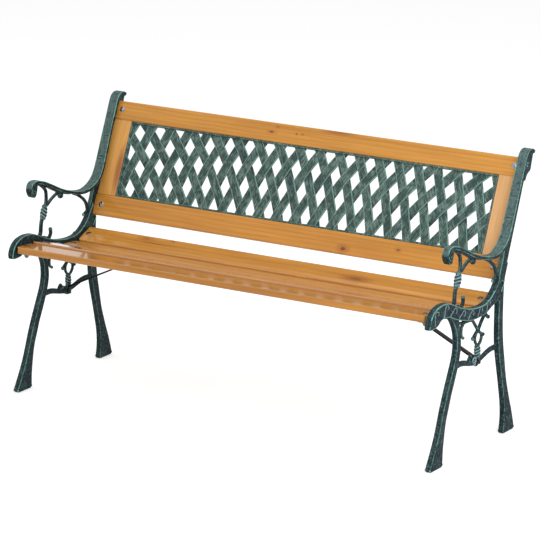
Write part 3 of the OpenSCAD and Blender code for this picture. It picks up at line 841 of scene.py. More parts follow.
@dataclass(frozen=True)
class PatinaPaint:
    """Dark green paint on a casting, with pale green rubbed on its edges by a dry brush.

    The ground colour turns to lit where the casting faces up above the seat rail, a painted top light,
    and to deep in its clouds and in the painted shade of its inner corners. Streaks and light specks
    are bloom, rubbed edges and rims pale, raised scrolls relief.
    """

    name: str
    ground: Colour
    deep: Colour
    bloom: Colour
    pale: Colour
    # painted top light: lit is the colour of faces that look up above the seat rail, side_strength how much
    # of the streaks the other faces keep
    lit: Colour
    edge_amount: float
    cloud_scale: float
    streak_cover: float
    streak_strength: float
    side_strength: float
    specks: float
    edge_scale: float = 90.0
    fine: float = 210.0
    coarse: float = 42.0
    strokes: tuple[tuple[float, float, float], ...] = ((1.0, 0.0, 0.0),)
    relief: Colour = srgb("9bb2b9")
    rough: float = 0.5
    seed: float = 0.0

    def streaks(self, g: Graph, shop: Workshop, spot: Feed) -> Feed:
        """Brush streaks of all strokes together.

        Args:
            g: The material's graph.
            shop: The shared node groups.
            spot: Place on the bench.

        Returns:
            Their mask.
        """
        streak: Feed = 0.0
        for n, across in enumerate(self.strokes):
            one = g.use(shop.streaks, Vector=spot, Across=across, Fine=self.fine, Coarse=self.coarse,
                        Cover=self.streak_cover, Seed=self.seed + 2 + 3 * n).outputs[0]
            streak = g.math("MAXIMUM", streak, one)
        return streak

    def build(self, shop: Workshop) -> bpy.types.Material:
        """Material of this paint.

        Args:
            shop: The shared node groups.

        Returns:
            The material.
        """
        material, g, shader = start_material(self.name, {"IOR": 1.4, "Specular IOR Level": 0.1})
        spot = g.spot()
        rubbed = g.use(shop.rubbed, Vector=spot, Edge=g.mark("arris"), Amount=self.edge_amount,
                       Scale=self.edge_scale, Seed=self.seed).outputs[0]
        # painted top light: faces that look up above the seat rail get the lit colour, full streaks and less
        # dark cloud
        top_light = g.use(shop.painted_top_light, Vector=spot, Normal=g.add("NewGeometry").outputs["Normal"]).outputs[0]
        streak = g.times(self.streaks(g, shop, spot), g.fit(top_light, 0.0, 1.0, self.side_strength, 1.0, False))
        specks = g.use(shop.specks, Vector=spot, Amount=self.specks, Seed=self.seed + 9).outputs
        cloud = g.use(shop.dust, Vector=spot, Scale=self.cloud_scale, Seed=self.seed + 4).outputs[0]
        skin = g.use(shop.skin, Vector=spot, Grit=0.8, Seed=self.seed).outputs
        cloud = g.times(cloud, g.fit(top_light, 0.0, 1.0, 0.85, 0.6))
        # painted top light: the ground turns to lit on faces that look up
        colour = g.blend(top_light, self.ground, self.lit)
        for share, other in ((cloud, self.deep),
                             # painted shade in the inner corners and where lattice strips pass behind others
                             (g.times(g.mark("crevice_shade"), 0.7), self.deep),
                             (g.times(streak, self.streak_strength), self.bloom),
                             (specks["Light"], self.bloom),
                             (specks["Dark"], self.deep),
                             (rubbed, self.pale),
                             (g.times(g.mark("rim"), specks["Worn"]), self.pale),
                             (g.times(g.mark("raised"), specks["Worn"]), self.relief)):
            colour = g.blend(share, colour, other)
        half = g.times(streak, 0.5)
        bare = g.math("MAXIMUM", rubbed, half)
        rough = g.plus(g.fit(bare, 0.0, 1.0, self.rough, self.rough + 0.2, False), skin["Roughness"])
        g.lay_on(shader, colour, rough, g.plus(skin["Height"], half), 0.35, 0.0004)
        return material


@dataclass(frozen=True)
class Knot:
    """A knot or mark on a board, in millimetres in the board's own frame.

    It has its place, its length and width, the strength of its dark core and of its halo, and how
    far it pushes the rings aside.
    """

    x: float
    y: float
    long: float
    wide: float
    core: float
    halo: float
    push: float


@dataclass(frozen=True)
class BoardFinish:
    """Honey-coloured clear lacquer on one board, which has its own rings, tone and knots.

    The pith is where the heart of the tree lies beside and behind the show face, drift how far the
    rings wander sideways for each step along the board, ring the width of one ring, and tone how
    strongly the rings show.
    """

    name: str
    seed: float
    pith: Point
    drift: float
    ring: float
    light: Colour = srgb("d6953f")
    dark: Colour = srgb("ae6519")
    tone: float = 1.0
    knots: tuple[Knot, ...] = ()
    coat: float = 0.32

    def build(self, shop: Workshop, middle: Vector, turn: Sequence[float]) -> bpy.types.Material:
        """Material of this board.

        Args:
            shop: The shared node groups.
            middle: Middle of the board's show face, in metres.
            turn: Turn of the board's own axes, in radians.

        Returns:
            The material.
        """
        material, g, shader = start_material(self.name, {
            "IOR": 1.45, "Specular IOR Level": 0.15, "Coat Weight": self.coat, "Coat Roughness": 0.09,
            "Coat IOR": 1.5})
        spot = g.spot()
        own = g.add("Mapping", {"Vector": spot, "Location": middle, "Rotation": turn,
                                "Scale": (MM, MM, MM)}, vector_type="TEXTURE").outputs[0]
        core, halo, shift = 0.0, 0.0, 0.0
        for k in self.knots:
            mark = g.use(shop.knot, Vector=own, Centre=(k.x, k.y, 0.0), Size=(k.long, k.wide, 60.0),
                         Push=k.push).outputs
            core = g.math("MAXIMUM", core, g.times(mark["Core"], k.core))
            halo = g.math("MAXIMUM", halo, g.times(mark["Halo"], k.halo))
            shift = g.plus(shift, mark["Shift"])
        grain = g.use(shop.grain, Vector=own, Pith=(0.0, *self.pith), Drift=self.drift, Ring=self.ring,
                      Shift=shift, Seed=self.seed).outputs
        cloud = g.use(shop.dust, Vector=spot, Scale=9.0, Seed=self.seed).outputs[0]
        rings = g.times(grain["Tone"], RING_STRENGTH * self.tone)
        colour = g.use(shop.lacquer, Light=self.light, Dark=self.dark, Rings=rings, Fibre=grain["Fibre"],
                       Broad=grain["Broad"], Halo=halo, Core=core).outputs[0]
        rough = g.plus(g.fit(grain["Fibre"], 0.2, 0.8, 0.40, 0.30, False), g.times(cloud, 0.05))
        g.lay_on(shader, colour, rough, grain["Height"], 0.25, 0.0002)
        return material


@dataclass(frozen=True)
class PlatedSteel:
    """Plate on bolts, nuts, washers and screws: zinc gone grey outdoors, if nothing else is said.

    Faces that turn away from the camera darken to the rim colour, a painted dark reflection.
    """

    name: str = "zinc_plate"
    colour: Colour = srgb("909295")
    dull: Colour = srgb("65686b")
    rough: float = 0.14
    # colour of the painted dark reflection where a face turns away from the camera
    rim: Colour = srgb("2c2d2f")

    def build(self, shop: Workshop) -> bpy.types.Material:
        """Material of this plate.

        Args:
            shop: The shared node groups.

        Returns:
            The material.
        """
        material, g, shader = start_material(self.name, {"Metallic": 1.0})
        spot = g.spot()
        cloud = g.use(shop.dust, Vector=spot, Scale=180.0, Seed=3.0).outputs[0]
        skin = g.use(shop.skin, Vector=spot, Grit=0.6, Seed=6.0).outputs
        # painted dark reflection: faces seen at a grazing angle darken towards the rim colour
        rim = g.fit(g.add("LayerWeight", {"Blend": 0.5}).outputs["Facing"], 0.3, 0.65, 0.0, 0.9)
        plate = g.blend(g.times(cloud, 0.6), self.colour, self.dull)
        rough = g.plus(g.fit(cloud, 0.0, 1.0, self.rough, self.rough + 0.12, False), skin["Roughness"])
        g.lay_on(shader, g.blend(rim, plate, self.rim), rough, skin["Height"], 0.15, 0.0001)
        return material


@dataclass(frozen=True)
class BlackEnamel:
    """Black enamel on the two steel braces."""

    name: str = "black_enamel"
    colour: Colour = srgb("0c0d0e")
    dusty: Colour = srgb("1a1b1d")

    def build(self, shop: Workshop) -> bpy.types.Material:
        """Material of this enamel.

        Args:
            shop: The shared node groups.

        Returns:
            The material.
        """
        material, g, shader = start_material(self.name, {"Specular IOR Level": 0.08, "Coat Weight": 0.18,
                                                         "Coat Roughness": 0.1})
        spot = g.spot()
        cloud = g.use(shop.dust, Vector=spot, Scale=60.0, Seed=8.0).outputs[0]
        skin = g.use(shop.skin, Vector=spot, Grit=0.3, Seed=2.0).outputs
        rough = g.fit(cloud, 0.0, 1.0, 0.38, 0.55, False)
        colour = g.blend(g.times(cloud, 0.6), self.colour, self.dusty)
        g.lay_on(shader, colour, rough, skin["Height"], 0.2, 0.0002)
        return material


# ---- sub-assemblies ----

# Each seat slat from the front: middle of its top in the side view and its tilt in degrees.
SLATS = ((-167, 400, -3.6), (-96.5, 395, -12.5), (-27, 376.5, -15.3), (44, 362.5, -4.5),
         (113.5, 373.5, 21.3))


@dataclass(frozen=True)
class BackSlope:
    """Plane of the back rest: where its front face starts and how it leans."""

    y: float = 173.5
    z: float = 440.0
    lean: float = 23.3

    def side_view(self, depth: np.ndarray | float, height: np.ndarray | float) -> tuple:
        """Place in the side view.

        Args:
            depth: How far behind the front face.
            height: How far up the slope.

        Returns:
            y and z in millimetres.
        """
        c, s = cos_sin(self.lean)
        return self.y + depth * c + height * s, self.z - depth * s + height * c

    def to_bench(self, points: np.ndarray) -> np.ndarray:
        """Points given along the bench, behind the front face and up the slope, in millimetres.

        Args:
            points: Rows of x, depth and height.

        Returns:
            The points in the frame, in metres.
        """
        x, depth, height = np.moveaxis(points, -1, 0)
        y, z = self.side_view(depth, height)
        return np.stack([x, y - SET_BACK, z], -1) * MM


@dataclass(frozen=True)
class Stem:
    """One rounded stem of the casting's ornament, from its start to its end."""

    path: tuple[Point, ...]
    wide: float
    narrow: float = 0.0
    deep: float = 8.4
    ball_end: float = 0.0

    def draw(self, cast: Pattern) -> None:
        """Add the stem to a pattern."""
        cast.rod(self.path, self.wide, self.narrow, self.deep, ball_end=self.ball_end)


@dataclass
class EndFrame:
    """Cast end frame of the bench, drawn for the right-hand end with its middle at x = 0.

    The band is the flat bar of arm and post, the web the plate of rail, legs and post. Lines are
    drawn in the side view, in millimetres: y towards the rear, z up. A rope has its foot, lean,
    length and radius, a scroll its place, turn and size, and a knob its middle and radii. A back
    lug has its height up the slope and how far behind the front face of the back it starts.
    """

    mid_x: float = 622.0
    band_wide: float = 26.0
    roll_wide: float = 20.0
    band_thick: float = 9.0
    rim: float = 3.4
    rim_rise: float = 1.2
    web: float = 8.0
    relief: float = 1.5
    rib_half: float = 6.4
    rib_deep: float = 4.5
    roll_half: float = 9.6
    head_half: float = 10.0
    post_inner: float = -4.0
    web_bevel: float = 1.6
    leg_bevel: float = 2.2
    ridge_wide: float = 3.4
    scroll_wide: Point = (3.8, 2.7)
    smoothing: int = 3
    voxel: float = 1.15
    arm_roll: Point = (-111.0, 535.0)
    cap_coil: Point = (283.0, 690.0)
    boss: Point = (47.0, 228.5)
    eye: Point = (30.0, 232.5)
    eye_spiral: Point = (28.0, 234.5)
    lug_end: float = -42.0
    lug_shifts: tuple[float, ...] = (-5, 0, 0, 0, 0)
    back_lugs: tuple[Point, ...] = ((265.6, 4.0), (1.58, 2.0))
    slope: BackSlope = BackSlope()

    band_line: tuple[Point, ...] = (
        (-124, 543), (-120.5, 552), (-111, 557.5), (-97, 558.5), (-80, 555), (-60, 548.5), (-30, 535.5),
        (0, 521.5), (30, 509), (60, 500), (92, 492), (123, 488.8), (145, 492.5), (166, 501), (182, 513),
        (194, 529), (209, 560), (226, 600), (247.5, 650), (269, 700), (274.5, 712), (282, 721),
        (292, 726.5), (303, 727.5), (312, 725.5), (320, 720.5))
    roll_line: tuple[Point, ...] = (
        (-98, 556), (-112, 556.5), (-121.5, 549), (-125, 538), (-123, 527.5), (-118, 519.5),
        (-111.5, 515), (-105, 517.5), (-100.5, 525), (-98, 535), (-96, 546))
    post_front: tuple[Point, ...] = (
        (147, 420), (155, 440), (164, 460), (171, 480), (178, 501), (193, 520), (213, 561),
        (230, 600), (251, 649), (271, 696))
    post_rear: tuple[Point, ...] = (
        (179, 405), (182.5, 425), (188, 442), (194, 462), (209.5, 500), (234.5, 560), (250.5, 600),
        (271, 650), (285, 684))
    rail_top: tuple[Point, ...] = (
        (-210, 377), (-206, 392), (-198, 404), (-187, 412.5), (-172, 418.5), (-152, 421.5),
        (-132, 421), (-112, 417.5), (-82, 406), (-54, 394), (-23, 384), (7, 377), (37, 372.8),
        (67, 372), (88, 375.3), (106, 382.5), (126, 396), (139, 409), (149, 424), (164, 446))
    rail_low: tuple[Point, ...] = (
        (-210, 371.5), (-205, 368.5), (-190, 368), (-174, 369.5), (-162, 374), (-152, 380), (-138, 383.5),
        (-127, 382.5), (-107, 379.5), (-92, 372.5), (-62, 362), (-32, 353.5), (-2, 346.5),
        (27, 343.6), (57, 344), (87, 346.6), (115, 356), (150, 366), (160, 366))
    front_leg: tuple[tuple[Point, ...], tuple[Point, ...]] = (
        ((-187, 0), (-193, 6), (-183, 25), (-166, 55), (-151, 85), (-139, 115), (-128, 145),
         (-115, 175), (-101, 205), (-86, 235), (-72, 265), (-66, 290), (-66.5, 315), (-73, 338),
         (-88, 362), (-108, 384)),
        ((-134, 0), (-129, 7), (-127.5, 40), (-121, 85), (-114, 115), (-102, 145), (-90, 175),
         (-75, 205), (-61, 235), (-50, 265), (-45, 290), (-47, 315), (-52, 340), (-60, 366)))
    rear_leg: tuple[tuple[Point, ...], tuple[Point, ...]] = (
        ((195, 0), (192, 7), (196, 30), (197, 55), (194, 85), (187, 115), (180, 145), (172, 175),
         (164, 205), (157.5, 235), (154, 265), (153, 300), (153, 370)),
        ((246, 0), (251, 6), (246, 25), (236, 55), (224, 85), (213, 115), (203, 145), (196, 175),
         (190, 205), (183.5, 235), (179, 265), (176.5, 300), (176, 345), (177, 380), (179.5, 408)))
    head_line: tuple[Point, ...] = (
        (254, 650), (270, 688), (280, 711), (290, 719), (304, 720), (314, 716.5), (311, 704),
        (306, 688), (301, 673), (290, 667), (281, 661), (275, 650))
    post_marks: tuple[Point, ...] = ((235, 622), (212, 568), (207.5, 557))
    foot_line: tuple[float, ...] = (4.6, 5.4, 7.4, 8.2)
    scroll: tuple[Point, ...] = (
        (-14, -13), (-9, -6), (-4, 1), (1, 8), (6, 12.5), (12, 12), (17, 7), (18, 1), (14, -2))
    scrolls: tuple[tuple[float, float, float, float], ...] = (
        (-181, 393, 34, 1.0), (-131, 400, 20, 0.95), (-90, 390, -20, 0.9), (-45, 373, -20, 0.86),
        (0, 362, -9, 0.84), (46, 358, 5, 0.82), (90, 364, 26, 0.82))
    ropes: tuple[tuple[Point, float, float, float], ...] = (
        ((-62.8, 446), 16.0, 35.0, 10.2), ((53.8, 236), 0.0, 36.0, 9.2))
    arm_knobs: tuple[tuple[Point, tuple[float, float, float]], ...] = (
        ((-63, 447.5), (8.0, 7.6, 4.2)), ((-53.2, 480), (8.0, 7.4, 4.4)), ((19.5, 494), (8.2, 8.2, 8.2)))
    arm_stems: tuple[Stem, ...] = (
        # foot of the baluster and the hook beside it
        Stem(((-78, 402), (-73, 413), (-71.5, 426), (-69, 440), (-63, 453)), 13.5, 11.5),
        Stem(((-66, 396), (-56, 394), (-46, 390), (-34, 391), (-27, 401), (-28, 412)), 11, 10, ball_end=5.6),
        # its front and its rear branch
        Stem(((-54, 476), (-48.5, 486), (-46.2, 497), (-46.5, 509), (-49, 521), (-59, 532), (-73, 541),
              (-86, 548)), 10, 8),
        Stem(((-53, 477), (-42, 482), (-33, 487), (-24, 492.5), (-12, 498), (4, 503.5), (17, 507.5)), 9, 8),
        # arc from the arm down to the post, and the spur below it
        Stem(((80, 487), (98, 480), (115, 470.6), (130, 459.5), (140.5, 446), (146, 428)), 8, 9),
        Stem(((158, 432), (146, 427), (134, 421.5), (126, 419.5)), 12, 6, ball_end=4.4))
    under_stems: tuple[Stem, ...] = (
        # curl and bar below the rail
        Stem(((-12, 350), (-20, 345.5), (-28, 340), (-33.4, 332.5), (-34.8, 323.5), (-33, 314),
              (-28, 308.5), (-23, 306)), 8, 6, ball_end=4.4),
        Stem(((-52, 352), (-40, 348), (-22, 345.5), (-4, 344.5), (10, 343.5), (24, 341)), 8),
        # the two stems that cross
        Stem(((20, 344), (30, 334.8), (39.2, 325.1), (47.7, 315.6), (57.3, 306), (68.8, 298), (82, 291)),
             7, ball_end=5.2),
        Stem(((90, 345), (81.2, 335.1), (71.5, 326.4), (63.8, 317.3), (56, 308.5), (45.3, 302.8),
              (29, 291.5)), 8.5, 8, ball_end=5.6),
        # the eye on top of the rope
        Stem(((47, 303), (41.5, 296), (39.5, 287.5), (42, 279.5), (48, 272.5), (55, 267)), 6.5, 7, 7.5),
        Stem(((66, 300), (72.5, 295), (74.5, 286.5), (71.5, 279), (65.5, 272.5), (57, 267)), 6.5, 7, 7.5),
        # leaf at the rear, both halves of the stretcher, and the leaf on it
        Stem(((86, 352), (96, 338), (108, 330.5)), 11, 9, ball_end=5.4),
        Stem(((-72, 240), (-50, 242), (-30, 241.5), (-10, 237.5), (12, 231.5), (34, 227)), 17, 13),
        Stem(((58, 227.5), (84, 233.5), (108, 239.5), (130, 242), (164, 241)), 13, 15),
        Stem(((8, 234), (12, 242), (17, 247)), 12, 10, ball_end=5.3))

    def band(self, cast: Pattern) -> None:
        """Flat band of arm and post with its raised rims.

        Args:
            cast: The pattern that the shells go to.
        """
        line = spline(self.band_line, 5)
        down = rightward(line)
        share = np.clip((line[:, 0] + 90) / 200, 0, 1)
        half = (self.roll_wide + (self.band_wide - self.roll_wide) * share) / 2
        swell = np.interp(line[:, 0], (130, 180, 200, 235, 330), (0, 3.5, 3.5, 1.0, 0.0))
        t, rim, rise = self.band_thick, self.rim, self.rim_rise
        section = [(-1, 0, 0.9), (-1, 1.0, 0.0), (-1, rim, 0.0), (-1, rim + 1.4, rise),
                   (1, -rim - 1.4, rise), (1, -rim, 0.0), (1, -1.0, 0.0), (1, 0, 0.9),
                   (1, 0, t - 1.2), (1, -1.2, t), (-1, 1.2, t), (-1, 0, t - 1.2)]
        fade = np.interp(line[:, 1], (660, 705), (1.0, 0.1))
        rings = np.empty((len(line), len(section), 3))
        for k, (edge, step, depth) in enumerate(section):
            rings[:, k, 0] = edge * half + step - (swell if edge < 0 else 0.0)
            rings[:, k, 1:] = line + down * (depth * (fade if depth == rise else np.ones(len(line))))[:, None]
        cast.rings(rings)
        belly = spline(self.band_line[5:10], 6)
        below = beside(belly, self.band_thick - 1)
        deep = self.rib_deep * np.sin(np.linspace(0.25, math.pi - 0.25, len(belly))) ** 0.4
        rib = below + rightward(belly) * deep[:, None]
        outline = np.concatenate([beside(belly, 3.0), rib[::-1]])
        cast.slab(outline, -self.rib_half, self.rib_half, self.web_bevel)
        for y, z in self.post_marks:
            near = int(np.argmin(np.hypot(line[:, 0] - y, line[:, 1] - z)))
            at = line[near] + down[near] * 0.9
            cast.ball((0, *at), (half[near] - 3.5, 1.5, 1.1))

    def roll(self, cast: Pattern) -> None:
        """Rolled front end of the arm, with its spiral and eye on both faces.

        Args:
            cast: The pattern that the shells go to.
        """
        half = self.roll_half
        cast.slab(spline(self.roll_line + self.roll_line[:1], 4), -half, half, self.web_bevel)
        for x in (-half, half):
            cast.spiral(self.arm_roll, 12.4, 5.0, 1.2, 95, 3.6, 2.8, x)
        cast.disc(self.arm_roll, 5.6, -12.3, 12.3, 2.0)

    def webs(self, cast: Pattern) -> None:
        """Rail, legs and rear of the post.

        Args:
            cast: The pattern that the shells go to.
        """
        w = self.web
        cast.between(self.rail_top, self.rail_low, -w, w, self.web_bevel)
        cast.between(self.post_front, self.post_rear, self.post_inner, w, self.web_bevel)
        cast.between(*self.front_leg, -w, w, self.leg_bevel)
        cast.between(*self.rear_leg, -w, w, self.leg_bevel)
        cast.slab(spline(self.head_line, 3), -self.head_half, self.head_half, 1.8)
        cast.ball((9.0, *self.cap_coil), (3.0, 6.8, 6.8))
        for one, other in (self.front_leg, self.rear_leg):
            front, rear, side = one[1][0] - 0.2, other[1][0] + 0.2, w + 0.4
            cast.rings(np.array([[(-side, front, z), (side, front, z), (side, rear, z), (-side, rear, z)]
                                 for z in self.foot_line]))

    def rail_relief(self, cast: Pattern) -> None:
        """Rims and running scrolls on the outer face of the seat rail.

        Args:
            cast: The pattern that the shells go to.
        """
        top, low = spline(self.rail_top[:19], 5), spline(self.rail_low[7:16], 5)
        for line in (beside(top, 2.2), beside(low, -2.2)):
            self.ridge(cast, line, self.ridge_wide, self.ridge_wide)
        for y, z, turn, size in self.scrolls:
            c, s = cos_sin(turn)
            line = [(y + size * (a * c - b * s), z + size * (a * s + b * c)) for a, b in self.scroll]
            self.ridge(cast, spline(line, 4), *self.scroll_wide)

    def ridge(self, cast: Pattern, line: np.ndarray, wide: float, narrow: float) -> None:
        """Half-round raised line on the outer face of the rail.

        Args:
            cast: The pattern that the shell goes to.
            line: The line in the side view.
            wide: Its width at the start.
            narrow: Its width at the end.
        """
        face = self.web
        width = np.linspace(wide, narrow, len(line)) / 2
        arc = np.linspace(0, math.pi, 8)
        rise = np.append(face - 0.2 + (self.relief + 0.15) * np.sin(arc) ** 0.7, [face - 3, face - 3])
        aside = width[:, None] * np.append(np.cos(arc), [-0.9, 0.9])
        rings = np.empty((len(line), len(rise), 3))
        rings[:, :, 0] = rise
        rings[:, :, 1:] = line[:, None] + rightward(line)[:, None] * aside[:, :, None]
        cast.rings(rings)

    def arm_support(self, cast: Pattern) -> None:
        """Twisted baluster below the arm, with its hook, branches, arc and spur.

        Args:
            cast: The pattern that the shells go to.
        """
        for stem in self.arm_stems:
            stem.draw(cast)
        cast.rope(*self.ropes[0], 3, 1.3)
        for middle, radii in self.arm_knobs:
            cast.ball((0, *middle), radii)

    def under_seat(self, cast: Pattern) -> None:
        """Ornament and stretcher under the seat rail.

        Args:
            cast: The pattern that the shells go to.
        """
        for stem in self.under_stems:
            stem.draw(cast)
        cast.disc(self.boss, 13.0, -5.0, 4.2, 1.0)
        cast.disc(self.eye, 10.5, -5.0, 4.6, 1.0)
        cast.spiral(self.eye_spiral, 11.6, 3.6, 1.4, 235, 3.4, 3.2, 5.6)
        cast.rope(*self.ropes[1], 3, 1.5)
        cast.disc(self.boss, 12.0, -7.0, 4.2, 0.6)

    def lugs(self, cast: Pattern) -> None:
        """Lugs on the inner face that carry the slats and the back.

        Args:
            cast: The pattern that the shells go to.
        """
        for (y, z, tilt), shift in zip(SLATS, self.lug_shifts):
            c, s = cos_sin(tilt)
            for x0, x1, low, high in ((self.lug_end, -4.0, -23.0, -18.0), (-12.0, -4.0, -22.0, -7.2)):
                section = ((-8.4, low), (15, low), (15, high), (-9, high), (-9, low + 1.6))
                cast.rings(np.array([[(x, y + (shift + a) * c - b * s, z + (shift + a) * s + b * c)
                                      for a, b in section] for x in (x0, x1)]))
        for v, root in self.back_lugs:
            for x0, x1, d0, d1 in ((self.lug_end, 4.0, 18.0, 23.0), (-4.0, 4.0, root, 22.0)):
                section = ((d0, v - 20), (d1, v - 20), (d1, v + 20), (d0, v + 20))
                cast.rings(np.array([[(x, *self.slope.side_view(d, h)) for d, h in section]
                                     for x in (x0, x1)]))

    def skin(self) -> bpy.types.Mesh:
        """Melt all parts of the casting into one skin.

        Returns:
            The skin, its middle at x = 0.
        """
        cast = Pattern()
        for draw in (self.band, self.roll, self.webs, self.rail_relief, self.arm_support,
                     self.under_seat, self.lugs):
            draw(cast)
        mesh = cast_skin(cast, "right_casting", self.voxel, self.smoothing)
        self.mark_relief(mesh)
        return mesh

    def mark_relief(self, mesh: bpy.types.Mesh) -> None:
        """Mark what rubbing bares: scrolls and rims of the rail, spirals, and strands of the ropes.

        Args:
            mesh: The casting's skin, its middle at x = 0.
        """
        x, y, z = (read_points(mesh) / MM).T
        y = y + SET_BACK
        top, low = (np.interp(y, *spline(line[:17], 4).T) for line in (self.rail_top, self.rail_low))
        inside = (z < top - 5) & (z > low + 4) & (y > -200) & (y < 140)
        raised = np.clip((x - self.web - 0.5) / 0.9, 0, 1) * inside
        eye = np.hypot(y - self.eye_spiral[0], z - self.eye_spiral[1]) < 14.5
        raised = np.maximum(raised, np.clip((x - 5.0) / 1.2, 0, 1) * eye)
        for foot, lean, length, radius in self.ropes:
            c, s = cos_sin(lean)
            along, up = (y - foot[0]) * c - (z - foot[1]) * s, (y - foot[0]) * s + (z - foot[1]) * c
            out = np.hypot(x, along)
            near = (up > 1) & (up < length - 1) & (out < radius * 1.3)
            strand = np.clip((out / rope_swell(up / length, radius) - 0.82) / 0.16, 0, 1)
            raised = np.maximum(raised, near * strand * 0.5)
        coil = np.abs(np.hypot(y - self.cap_coil[0], z - self.cap_coil[1]) - 5.2)
        raised = np.maximum(raised, (x > 6) * np.clip(1.6 - coil, 0, 1))
        rim = np.exp(-((z - top + 1.6) / 1.3) ** 2)
        rim = np.maximum(rim, 0.8 * np.exp(-((z - low - 1.6) / 1.2) ** 2))
        rim = rim * (x > self.web - 1.0) * (y > -204) * (y < 130)
        mark_points(mesh, "rim", rim)
        mark_points(mesh, "raised", raised)

    def build(self, paint: bpy.types.Material) -> None:
        """Make both ends and put them on the frame.

        Args:
            paint: The paint of the castings.
        """
        mesh = self.skin()
        other = mesh.copy()
        other.name = "left_casting"
        for side, skin in ((Side.RIGHT, mesh), (Side.LEFT, other)):
            skin.transform(Matrix.Translation((self.mid_x * MM, 0, 0)))
            if side is Side.LEFT:
                skin.transform(Matrix.Scale(-1, 4, (1, 0, 0)))
                skin.flip_normals()
            points = read_points(skin)
            points[:, 2] = np.maximum(points[:, 2], 0.0)
            skin.vertices.foreach_set("co", points.ravel())
            skin.update()
            place(f"{side.value}_casting", skin, paint, f"{side.value}_end_frame")


